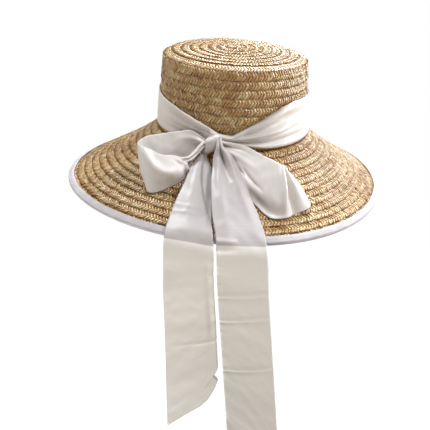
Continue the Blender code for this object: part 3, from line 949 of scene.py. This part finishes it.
# %% The band
BandRow = namedtuple("BandRow", "angle lower upper valley_depth")
BAND_ROWS = [BandRow(*row) for row in (
    (-180, 0.05, 0.92, 0.000),
    (-95, 0.05, 0.88, 0.000),
    (-57, 0.07, 0.81, 0.000),
    (-33, 0.09, 0.73, 0.010),
    (-16, 0.13, 0.60, 0.030),
    (-4, 0.16, 0.47, 0.040),
    (5, 0.16, 0.34, 0.020),
    (14, 0.16, 0.31, 0.022),
    (20, 0.12, 0.42, 0.045),
    (32, 0.06, 0.62, 0.090),
    (40, 0.04, 0.76, 0.100),
    (50, 0.03, 0.90, 0.085),
    (61, 0.03, 0.97, 0.045),
    (78, 0.04, 0.96, 0.010),
    (180, 0.05, 0.92, 0.000),
)]
Valley = namedtuple("Valley", "share width depth")
BAND_VALLEYS = (Valley(0.20, 0.07, 0.9), Valley(0.40, 0.06, 0.35), Valley(0.68, 0.12, 1.0))
BAND_LINES = (
    Fold(0.32, (
        (0.500, 0.75, 0.06), (0.512, 0.75, 0.11), (0.530, 0.74, 0.13), (0.545, 0.72, 0.08),
        (0.565, 0.70, 0.00),
    )),
    Fold(0.075, (
        (0.540, 0.58, 0.00), (0.556, 0.62, -0.04), (0.572, 0.69, -0.07), (0.589, 0.70, -0.08),
        (0.606, 0.70, -0.08), (0.622, 0.71, -0.08), (0.640, 0.73, -0.06), (0.665, 0.74, 0.00),
    )),
    Fold(0.08, (
        (0.540, 0.44, 0.00), (0.572, 0.50, 0.06), (0.606, 0.50, 0.08), (0.622, 0.49, 0.07),
        (0.660, 0.46, 0.00),
    )),
    Fold(0.06, (
        (0.572, 0.92, 0.00), (0.589, 0.92, 0.05), (0.622, 0.92, 0.06), (0.640, 0.92, 0.04),
        (0.660, 0.92, 0.00),
    )),
    Fold(0.05, (
        (0.540, 0.22, 0.00), (0.572, 0.22, -0.06), (0.622, 0.22, -0.07), (0.645, 0.20, 0.00),
    )),
)
BAND_STATIONS = 300
BAND_COLUMNS = 29
EDGE_FREE = 0.25  # the folds' share at the ribbon's two edges
EDGE_REACH = 0.06
BAND_CLEAR = 0.3 * MM


def make_band():
    angles = np.linspace(-180, 180, BAND_STATIONS, endpoint=False)
    shares = np.linspace(0, 1, BAND_COLUMNS)
    table = np.array(BAND_ROWS)
    lower, upper, depth = (np.interp(angles, table[:, 0], table[:, i]) for i in (1, 2, 3))
    height = RIBBON_WIDTH * (lower[:, None] + (upper - lower)[:, None] * shares)
    fold = np.ones((len(angles), len(shares)))
    for valley in BAND_VALLEYS:
        offset = (shares - valley.share) / valley.width
        fold = fold - valley.depth * np.exp(-np.square(offset))[None]
    inward = np.minimum(1, np.minimum(shares, 1 - shares) / EDGE_REACH)
    rest = EDGE_FREE + (1 - EDGE_FREE) * inward
    stand = GAP + BAND_CLEAR + RIBBON_CLOTH / 2
    nearest = BASE_RADIUS - CROWN_TAPER * height / CROWN_HEIGHT + stand
    radius = nearest + RIBBON_WIDTH * depth[:, None] * fold * rest
    lie = relief(BAND_LINES, angles / 360 + 0.5, shares) * rest
    radius = np.maximum(radius + RIBBON_WIDTH * lie, nearest)
    grid = worn(radius, np.radians(angles)[:, None], height)
    return ribbon("band_ribbon", grid, satin, ring=True)


band_ribbon = make_band()

# %% [markdown]
# The bow's loops and tails hang from the knot over the brim. Their tables give each edge by its angle
# round the hat, its share of the brim's reach and its lift above the brim, so that a loop stays on
# the brim wherever the brim goes.

# %% The bow's loops
LoopRow = namedtuple("LoopRow", "angle out lift low_angle low_out low_lift bulge")
LEFT_LOOP = [LoopRow(*row) for row in (
    (-2.9, 0.080, 0.34, -3.2, 0.100, 0.14, 0.00),
    (-12.5, 0.087, 0.50, -12.4, 0.190, 0.09, 0.00),
    (-19.9, 0.140, 0.52, -16.3, 0.306, 0.09, -0.02),
    (-26.2, 0.282, 0.64, -17.6, 0.450, 0.08, -0.02),
    (-30.2, 0.410, 0.72, -19.6, 0.575, 0.06, 0.00),
    (-30.0, 0.500, 0.73, -17.8, 0.645, 0.05, 0.04),
    (-21.4, 0.497, 0.67, -13.2, 0.610, 0.05, 0.09),
    (-16.4, 0.485, 0.61, -10.2, 0.530, 0.06, 0.12),
    (-12.8, 0.409, 0.52, -6.8, 0.425, 0.06, 0.10),
    (-9.8, 0.294, 0.31, -6.9, 0.270, 0.09, 0.03),
    (-3.3, 0.120, 0.41, -4.2, 0.125, 0.20, 0.00),
)]
LEFT_LOOP_LINES = (
    Fold(0.10, ((0.00, 0.30, -0.05), (0.22, 0.25, 0.0))),
    Fold(0.19, (
        (0.51, 0.02, 0.00), (0.56, 0.20, 0.05), (0.61, 0.42, 0.10), (0.66, 0.56, 0.12),
        (0.70, 0.62, 0.12), (0.75, 0.60, 0.10), (0.80, 0.52, 0.03), (0.82, 0.50, 0.00),
    )),
    Fold(0.28, ((0.80, 0.20, 0.00), (0.86, 0.26, 0.09), (1.00, 0.30, 0.09))),
    Fold(0.12, ((0.80, 0.70, 0.00), (0.86, 0.72, -0.09), (1.00, 0.74, -0.08))),
    Crease(0.014, ((0.765, 0.15, 0.00), (0.79, 0.40, 0.05), (0.81, 0.95, 0.07))),
    Crease(0.016, ((0.735, 0.10, 0.00), (0.755, 0.40, -0.05), (0.775, 0.95, -0.05))),
)
RIGHT_LOOP = [LoopRow(*row) for row in (
    (6.6, 0.124, 0.46, 6.6, 0.124, 0.18, 0.00),
    (21.5, 0.190, 0.52, 14.2, 0.270, 0.10, 0.02),
    (29.8, 0.326, 0.58, 20.2, 0.450, 0.08, 0.04),
    (34.3, 0.417, 0.62, 24.8, 0.599, 0.06, 0.05),
    (36.8, 0.474, 0.63, 31.3, 0.772, 0.05, 0.05),
    (37.9, 0.482, 0.63, 35.6, 0.779, 0.05, 0.04),
    (38.9, 0.464, 0.55, 43.5, 0.731, 0.05, 0.08),
    (39.5, 0.425, 0.48, 46.9, 0.711, 0.05, 0.08),
    (35.3, 0.311, 0.37, 45.6, 0.454, 0.06, 0.00),
    (27.3, 0.194, 0.35, 31.7, 0.187, 0.08, 0.00),
    (6.6, 0.080, 0.38, 6.6, 0.080, 0.16, 0.00),
)]
RIGHT_LOOP_LINES = (
    Fold(0.06, ((0.00, 0.25, -0.06), (0.12, 0.18, -0.02), (0.22, 0.14, 0.00))),
    Fold(0.08, ((0.00, 0.50, 0.06), (0.15, 0.42, 0.03), (0.30, 0.38, 0.00))),
    Fold(0.06, ((0.00, 0.78, -0.08), (0.12, 0.72, -0.06), (0.26, 0.68, 0.00))),
    Fold(0.07, ((0.05, 0.95, 0.05), (0.22, 0.92, 0.04), (0.34, 0.90, 0.00))),
    Fold(0.035, ((0.17, 0.56, 0.00), (0.22, 0.62, -0.05), (0.28, 0.66, -0.06), (0.34, 0.68, 0.00))),
    Fold(0.07, ((0.20, 0.72, 0.00), (0.28, 0.77, 0.05), (0.36, 0.80, 0.00))),
    Fold(0.13, ((0.27, 0.88, 0.00), (0.33, 0.89, -0.09), (0.40, 0.90, -0.09), (0.46, 0.92, 0.00))),
    Fold(0.30, ((0.47, 1.00, 0.00), (0.50, 1.00, 0.01), (0.60, 1.00, 0.01), (0.66, 1.00, 0.00))),
    Crease(0.013, (
        (0.425, 0.00, 0.00), (0.430, 0.20, 0.05), (0.435, 0.50, 0.08), (0.440, 1.00, 0.02),
    )),
    Crease(0.020, (
        (0.450, 0.00, 0.00), (0.458, 0.20, -0.08), (0.466, 0.50, -0.14), (0.472, 1.00, -0.08),
    )),
)
LOOP_GATHERS = 3
LOOP_TAKE_UP = 0.42
LOOP_STEP = 1.6 * MM
LOOP_COLUMNS = 41
LOOP_LIE = 0.004


def make_loop(name, rows, lines, seed):
    edges, places, marks = through(
        [
            (brim_point(r.angle, r.out, r.lift), brim_point(r.low_angle, r.low_out, r.low_lift))
            for r in rows
        ],
        LOOP_STEP,
    )
    shares = np.linspace(0, 1, LOOP_COLUMNS)
    bulge = np.interp(places, marks, [r.bulge for r in rows])
    height = 4 * bulge[:, None] * (shares * (1 - shares))[None] + relief(lines, places, shares)
    height = RIBBON_WIDTH * height + soft_lie(edges, LOOP_COLUMNS, seed, LOOP_LIE)
    height = height + gathers(edges, shares, LOOP_GATHERS, LOOP_TAKE_UP)
    flat = edges[:, :1] + (edges[:, 1:] - edges[:, :1]) * shares[None, :, None]
    grid = flat - facing(edges)[:, None] * height[..., None]
    return ribbon(name, grid, satin)


loop_left = make_loop("loop_left", LEFT_LOOP, LEFT_LOOP_LINES, 31)
loop_right = make_loop("loop_right", RIGHT_LOOP, RIGHT_LOOP_LINES, 32)

# %% [markdown]
# The tails run from under the knot over the rim, and then hang. Each ends in a slanted cut, and the
# left one's is bowed and has a small nick. They sag from the rim's edge in a shallow swing, with
# faint creases across them where the ribbon was folded in its packet.

# %% The tails
TailRow = namedtuple("TailRow", "left_angle left_out left_lift right_angle right_out right_lift")
LEFT_TAIL = [TailRow(*row) for row in (
    (-2.6, 0.095, 0.22, 0.4, 0.095, 0.22),
    (-4.3, 0.156, 0.13, 0.3, 0.160, 0.15),
    (-4.9, 0.244, 0.16, 3.5, 0.225, 0.16),
    (-5.1, 0.344, 0.18, 5.7, 0.344, 0.18),
    (-4.3, 0.465, 0.18, 7.2, 0.470, 0.18),
    (-3.9, 0.679, 0.14, 9.0, 0.667, 0.14),
    (-3.3, 0.877, 0.10, 10.4, 0.851, 0.10),
    (-2.6, 1.000, 0.14, 11.5, 1.000, 0.14),
    (-1.7, 1.100, 0.08, 12.3, 1.100, 0.08),
)]
RIGHT_TAIL = [TailRow(*row) for row in (
    (4.6, 0.105, 0.50, 7.2, 0.110, 0.52),
    (5.6, 0.185, 0.44, 10.0, 0.200, 0.48),
    (4.9, 0.215, 0.30, 13.9, 0.230, 0.42),
    (5.6, 0.290, 0.24, 17.9, 0.290, 0.30),
    (6.6, 0.427, 0.24, 20.8, 0.420, 0.28),
    (8.6, 0.631, 0.20, 23.3, 0.614, 0.24),
    (10.3, 0.815, 0.16, 25.5, 0.784, 0.18),
    (12.3, 1.000, 0.15, 26.9, 1.000, 0.15),
    (13.0, 1.100, 0.08, 27.1, 1.100, 0.08),
)]
HangRow = namedtuple("HangRow", "drop swing")
TAIL_HANG = (HangRow(0.15, 0.07), HangRow(0.50, 0.05), HangRow(1.00, 0.03))
TailEdge = namedtuple("TailEdge", "length lean")
Nick = namedtuple("Nick", "place width depth")
LEFT_TAIL_CUT = ((0.0, 4.0), (0.33, 10.0), (0.65, 16.5), (0.80, 16.0), (0.92, 11.0), (1.0, 4.0))
LEFT_TAIL_NICK = Nick(0.975, 0.014, 5.0 * MM)
LEFT_TAIL_EDGES = (TailEdge(203.0 * MM, -0.010), TailEdge(136.0 * MM, 0.030))
RIGHT_TAIL_EDGES = (TailEdge(216.0 * MM, 0.050), TailEdge(278.0 * MM, 0.068))
LEFT_TAIL_LINES = (
    Fold(0.26, ((0.00, 0.25, 0.05), (0.20, 0.35, 0.05), (0.45, 0.45, 0.02), (0.60, 0.50, 0.00))),
    Pleat(0.028, (
        (0.00, 0.45, -0.12), (0.15, 0.58, -0.11), (0.25, 0.82, -0.10), (0.35, 0.95, 0.00),
    )),
    Fold(0.16, ((0.00, 1.00, -0.03), (0.20, 1.00, -0.03), (0.35, 1.00, 0.00))),
    Fold(0.04, ((0.00, 0.75, 0.05), (0.06, 0.85, 0.05), (0.12, 0.92, 0.00))),
    Fold(0.05, ((0.42, 0.86, 0.00), (0.50, 0.88, -0.02), (0.75, 0.90, -0.02), (0.85, 0.90, 0.00))),
    Crease(0.004, ((0.265, 0.02, 0.012), (0.270, 0.40, 0.006), (0.275, 0.80, 0.0))),
    Crease(0.004, ((0.292, 0.02, 0.012), (0.294, 0.40, 0.006), (0.298, 0.80, 0.0))),
    Crease(0.005, ((0.740, 0.02, 0.000), (0.775, 0.50, 0.010), (0.820, 0.98, 0.016))),
)
RIGHT_TAIL_LINES = (
    Fold(0.12, ((0.00, 0.15, 0.06), (0.10, 0.22, 0.05), (0.30, 0.25, 0.01), (0.40, 0.25, 0.00))),
    Fold(0.09, ((0.00, 0.50, -0.14), (0.06, 0.47, -0.14), (0.11, 0.50, -0.04), (0.15, 0.50, 0.00))),
    Fold(0.11, ((0.00, 0.80, 0.07), (0.08, 0.74, 0.06), (0.20, 0.80, 0.02), (0.32, 0.85, 0.00))),
    Fold(0.12, ((0.00, 1.00, -0.05), (0.20, 1.00, -0.04), (0.32, 1.00, 0.00))),
    Crease(0.006, ((0.326, 0.00, 0.040), (0.326, 0.20, 0.030), (0.324, 0.45, 0.0))),
    Crease(0.008, ((0.345, 0.00, -0.040), (0.345, 0.25, -0.030), (0.343, 0.50, 0.0))),
    Crease(0.004, ((0.482, 0.00, 0.016), (0.463, 0.50, 0.010), (0.445, 1.00, 0.016))),
    Crease(0.004, ((0.492, 0.00, -0.016), (0.473, 0.50, -0.012), (0.455, 1.00, -0.012))),
    Crease(0.004, ((0.560, 0.00, 0.020), (0.531, 0.50, 0.016), (0.503, 1.00, 0.010))),
    Crease(0.004, ((0.570, 0.00, -0.020), (0.541, 0.50, -0.014), (0.513, 1.00, -0.010))),
    Crease(0.004, ((0.726, 0.00, 0.014), (0.680, 0.50, 0.018), (0.636, 1.00, 0.012))),
    Crease(0.004, ((0.736, 0.00, -0.014), (0.690, 0.50, -0.016), (0.646, 1.00, -0.010))),
    Crease(0.005, ((0.390, 0.00, 0.020), (0.388, 0.16, 0.0))),
    Crease(0.005, ((0.420, 0.00, -0.018), (0.418, 0.14, 0.0))),
    Crease(0.005, ((0.450, 0.00, 0.016), (0.446, 0.16, 0.0))),
    Crease(0.005, ((0.600, 0.00, 0.016), (0.596, 0.14, 0.0))),
    Crease(0.005, ((0.650, 0.00, 0.014), (0.646, 0.12, 0.0))),
)
TAIL_STEP = 1.7 * MM
TAIL_COLUMNS = 37
TAIL_LIE = 0.003
CUT_START = 0.80  # the share of the tail's length from which the cut's bow is let in
FREE_WIDTH = 1.6  # the cloth lies freely once the edges are a ribbon's width / this apart
BEFORE_RIM = 0.012  # the share of the length by which the ivory starts before the rim


def make_tail(name, rows, hang_edges, lines, seed, cut=((0.0, 0.0), (1.0, 0.0)), nick=None):
    edges = [
        [
            brim_point(r.left_angle, r.left_out, r.left_lift),
            brim_point(r.right_angle, r.right_out, r.right_lift),
        ]
        for r in rows
    ]
    rim_row, rim = len(edges) - 1, edges[-1]
    for row in TAIL_HANG:
        swing = row.swing * RIBBON_WIDTH
        falls = [(e.lean * row.drop * e.length, -swing, -row.drop * e.length) for e in hang_edges]
        edges.append([point + np.array(fall) for point, fall in zip(rim, falls)])
    edges, places, marks = through(edges, TAIL_STEP)
    if nick:
        edges[:, 1, 0] -= nick.depth * np.exp(-np.square((places - nick.place) / nick.width))
    shares = np.linspace(0, 1, TAIL_COLUMNS)
    apart = lengths(edges[:, 1] - edges[:, 0]) / RIBBON_WIDTH
    height = RIBBON_WIDTH * relief(lines, places, shares)
    height = height + soft_lie(edges, TAIL_COLUMNS, seed, TAIL_LIE)
    height = height * np.minimum(1.0, FREE_WIDTH * apart)[:, None]
    flat = edges[:, :1] + (edges[:, 1:] - edges[:, :1]) * shares[None, :, None]
    near_end = np.square(np.clip((places - CUT_START) / (1 - CUT_START), 0, 1))
    shares_cut, longer = np.array(cut).T
    flat[..., 2] -= near_end[:, None] * np.interp(shares, shares_cut, longer)[None] * MM
    grid = flat + facing(edges)[:, None] * height[..., None]
    hung = places - marks[rim_row] + BEFORE_RIM
    drop = np.repeat(hung[:, None], TAIL_COLUMNS, axis=1)
    return ribbon(name, grid, tail_satin, drop=drop)


tail_left = make_tail(
    "tail_left", LEFT_TAIL, LEFT_TAIL_EDGES, LEFT_TAIL_LINES, 41, LEFT_TAIL_CUT, LEFT_TAIL_NICK
)
tail_right = make_tail("tail_right", RIGHT_TAIL, RIGHT_TAIL_EDGES, RIGHT_TAIL_LINES, 42)

# %% [markdown]
# The knot is the ribbon's own wrap round itself. A rounded block with its sides pulled in, and with a
# few soft lengthwise gathers, reads as cloth drawn tight.

# %% The knot
KNOT_ROWS = 27
KNOT_COLUMNS = 48
KNOT_PROUD = 1.6 * MM
KNOT_WAIST = 0.62  # the width at the ends as a share of the middle's
KNOT_FLARE = 0.16  # how much wider the top is than the foot
KNOT_SQUARENESS = 0.75
KNOT_ENDS = (0.06, 0.94)  # beyond these shares of its height the knot narrows no further
KNOT_CORNER = 8  # a higher power makes the top and the foot squarer
KNOT_CAP = 1.02  # over 1, so that the top and the foot close with a small flat
KNOT_FOOT, KNOT_TOP = -0.8, 1.0  # shares of the solid's half height
KNOT_WIDENING = 1.08
KNOT_SLANT = 5.0 * MM
KNOT_SIDE_RISE = 1.5 * MM
KNOT_GATHERS = (
    Fold(0.09, ((0.10, 0.30, -0.10), (0.50, 0.36, -0.16), (0.95, 0.30, -0.05))),
    Fold(0.07, ((0.05, 0.55, -0.06), (0.50, 0.56, -0.10), (0.90, 0.60, -0.12))),
    Fold(0.06, ((0.10, 0.75, -0.12), (0.60, 0.70, -0.08), (0.95, 0.72, -0.10))),
    Fold(0.10, ((0.55, 0.45, 0.00), (0.80, 0.45, 0.14), (1.00, 0.45, 0.06))),
)


def make_knot():
    """A bead of cloth. Across runs round it, so that a share of a half is its front."""
    lo, hi = (np.array(corner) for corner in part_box("bow_knot"))
    centre, half = (lo + hi) / 2, (hi - lo) / 2 + KNOT_PROUD
    turns = np.linspace(0, 1, KNOT_COLUMNS, endpoint=False)
    rise = np.linspace(0, 1, KNOT_ROWS)
    middle = np.sqrt(np.sin(math.pi * np.clip(rise, *KNOT_ENDS)))
    swell = KNOT_WAIST + (1 - KNOT_WAIST) * middle
    rounded_ends = np.sqrt(KNOT_CAP - (2 * rise - 1) ** KNOT_CORNER)
    swell = swell * (1 - KNOT_FLARE / 2 + KNOT_FLARE * rise) * rounded_ends
    angle = math.tau * (turns + 0.25)
    across, out = (
        np.sign(turned) * np.abs(turned) ** KNOT_SQUARENESS
        for turned in (np.cos(angle), np.sin(angle))
    )
    size = swell[:, None] * (1 + relief(KNOT_GATHERS, rise, turns))
    grid = np.empty((KNOT_ROWS, KNOT_COLUMNS, 3))
    slant = (rise - 0.5)[:, None] * KNOT_SLANT
    level = (KNOT_TOP - KNOT_FOOT) * rise[:, None] + KNOT_FOOT
    grid[..., 0] = centre[0] + half[0] * KNOT_WIDENING * size * across[None] + slant
    grid[..., 1] = centre[1] + half[1] * size * out[None]
    grid[..., 2] = centre[2] + half[2] * level + across[None] * KNOT_SIDE_RISE
    foot = np.arange(KNOT_COLUMNS)
    caps = [foot[::-1], foot + (KNOT_ROWS - 1) * KNOT_COLUMNS]
    sides = grid_faces(KNOT_ROWS, KNOT_COLUMNS, tube=True)[:, OTHER_WAY]
    mesh = new_mesh("knot_wrap", grid, list(sides) + caps)
    corners = (mesh.vertices[loop.vertex_index].co for loop in mesh.loops)
    keep_flat(mesh, "ribbon", [(co.x, co.z) for co in corners])
    return new_piece("knot_wrap", mesh, satin)


knot_wrap = make_knot()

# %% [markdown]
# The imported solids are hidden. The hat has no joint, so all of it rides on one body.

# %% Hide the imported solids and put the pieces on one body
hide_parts("crown")
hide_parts("brim")
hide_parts("brim_binding")
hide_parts("hat_band")
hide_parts("bow_knot")
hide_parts("bow_loop_left")
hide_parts("bow_loop_right")
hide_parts("ribbon_tail_left")
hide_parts("ribbon_tail_right")

straw_pieces = (
    crown_shell, brim_shell, tip_braid, side_braid, brim_braid, under_braid, side_inner_braid,
    tip_inner_braid,
)
satin_pieces = (band_ribbon, knot_wrap, loop_left, loop_right, tail_left, tail_right)
for pieces, slot in (
    (straw_pieces, "straw_braid"), (satin_pieces, "satin_ribbon"), ((rim_tape,), "bias_binding"),
):
    for piece in pieces:
        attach(piece, "root")

# %% [markdown]
# The room is a pale floor a metre below the tails, a near-white world and nine soft lights: strong
# ones high on the right, above and behind, and weak ones that open the shadows. The floor and the
# world look white to the camera, and give less light than that, so that the hat keeps its shadows.
# The camera stands where the hat was seen from, a little to the right of the bow and above it.

# %% Floor, light and camera
FLOOR_CLEARANCE = 1000 * MM
FLOOR_LIGHT = 0.66
FLOOR_SEEN = 0.97
ROOM_HALF = 30.0


def make_floor():
    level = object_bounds()[0][2] - FLOOR_CLEARANCE
    corners = [
        (x * ROOM_HALF, y * ROOM_HALF, level) for x, y in ((-1, -1), (1, -1), (1, 1), (-1, 1))
    ]
    look, add, shader = new_look("pale_floor", Base_Color=linear("#5E5E5E"), Roughness=0.9)
    seen = add("ShaderNodeLightPath").outputs["Is Camera Ray"]
    tint = add(
        "ShaderNodeMix", {"data_type": "RGBA"},
        Factor=seen, i6=linear("#FFF4E6"), i7=linear("#FFFFFF"),
    )
    glow = add("ShaderNodeMapRange", Value=seen, To_Min=FLOOR_LIGHT, To_Max=FLOOR_SEEN)
    plug(shader, Emission_Color=tint, Emission_Strength=glow)
    new_piece("floor", new_mesh("floor", corners, [(0, 1, 2, 3)]), look)


make_floor()

Lamp = namedtuple("Lamp", "name place size power colour target", defaults=((0.0, 0.0, 0.0),))
LAMPS = [Lamp(*row) for row in (
    ("key_right", (0.93, -0.25, 1.149), 0.35, 10.4, "#FCFDFF"),
    ("back_top", (0.30, 1.06, 1.03), 0.5, 27.0, "#FAFCFF"),
    ("side_right", (1.38, 0.42, 0.33), 0.3, 14.5, "#F4F8FF"),
    ("overhead", (-0.45, 0.10, 1.36), 0.6, 17.0, "#F8FBFF"),
    ("front", (-0.90, -1.25, -0.10), 0.8, 3.8, "#FFFFFF", (0.0, -0.15, -0.1)),
    ("side_left", (-1.28, -0.47, 0.63), 0.8, 0.4, "#FFFFFF"),
    ("back_right", (0.50, 1.25, 0.50), 0.5, 4.4, "#FAFCFF"),
    ("edge_right", (1.00, 0.98, -0.10), 0.4, 5.2, "#FAFCFF"),
    ("low_front", (-0.25, -0.75, -1.15), 0.5, 5.6, "#FFFFFF", (0.0, -0.2, -0.25)),
)]


def make_light(lamp):
    data = bpy.data.lights.new(lamp.name, "AREA")
    data.shape = "DISK"
    data.size = lamp.size
    data.energy = lamp.power
    data.color = linear(lamp.colour)[:3]
    light = bpy.data.objects.new(lamp.name, data)
    bpy.context.scene.collection.objects.link(light)
    light.location = lamp.place
    light.rotation_mode = "QUATERNION"
    back = Vector(lamp.place) - Vector(lamp.target)
    light.rotation_quaternion = back.to_track_quat("Z", "Y")


for lamp in LAMPS:
    make_light(lamp)

WORLD_LIGHT = 0.18
WORLD_SEEN = 1.0
world = bpy.data.worlds.new("pale_room")
bpy.context.scene.world = world
world.use_nodes = True
seen = add_node(world.node_tree, "ShaderNodeLightPath").outputs["Is Camera Ray"]
strength = add_node(
    world.node_tree, "ShaderNodeMapRange", Value=seen, To_Min=WORLD_LIGHT, To_Max=WORLD_SEEN
)
plug(world.node_tree.nodes["Background"], Color=linear("#FFFFFF"), Strength=strength)
bpy.context.scene.view_settings.view_transform = "Standard"
print("lights:", len(LAMPS))

CAMERA_PLACE = (170.2 * MM, -705.9 * MM, 208.6 * MM)
CAMERA_AZIMUTH = math.radians(15.31)
CAMERA_ELEVATION = math.radians(16.98)
CAMERA_ROLL = math.radians(-0.48)
FOCAL_PIXELS = 627.9
FRAME_PIXELS = 430
FRAME_SHIFT = -0.19
SENSOR_WIDTH = 36.0


def make_camera():
    data = bpy.data.cameras.new("camera")
    data.sensor_width = SENSOR_WIDTH
    data.lens = SENSOR_WIDTH * FOCAL_PIXELS / FRAME_PIXELS
    data.shift_y = FRAME_SHIFT
    data.clip_start = 0.01
    camera = bpy.data.objects.new("camera", data)
    bpy.context.scene.collection.objects.link(camera)
    turn = Matrix.Rotation(CAMERA_AZIMUTH, 4, "Z")
    turn = turn @ Matrix.Rotation(math.radians(90) - CAMERA_ELEVATION, 4, "X")
    turn = turn @ Matrix.Rotation(CAMERA_ROLL, 4, "Z")
    camera.matrix_world = Matrix.Translation(CAMERA_PLACE) @ turn
    bpy.context.scene.camera = camera


make_camera()
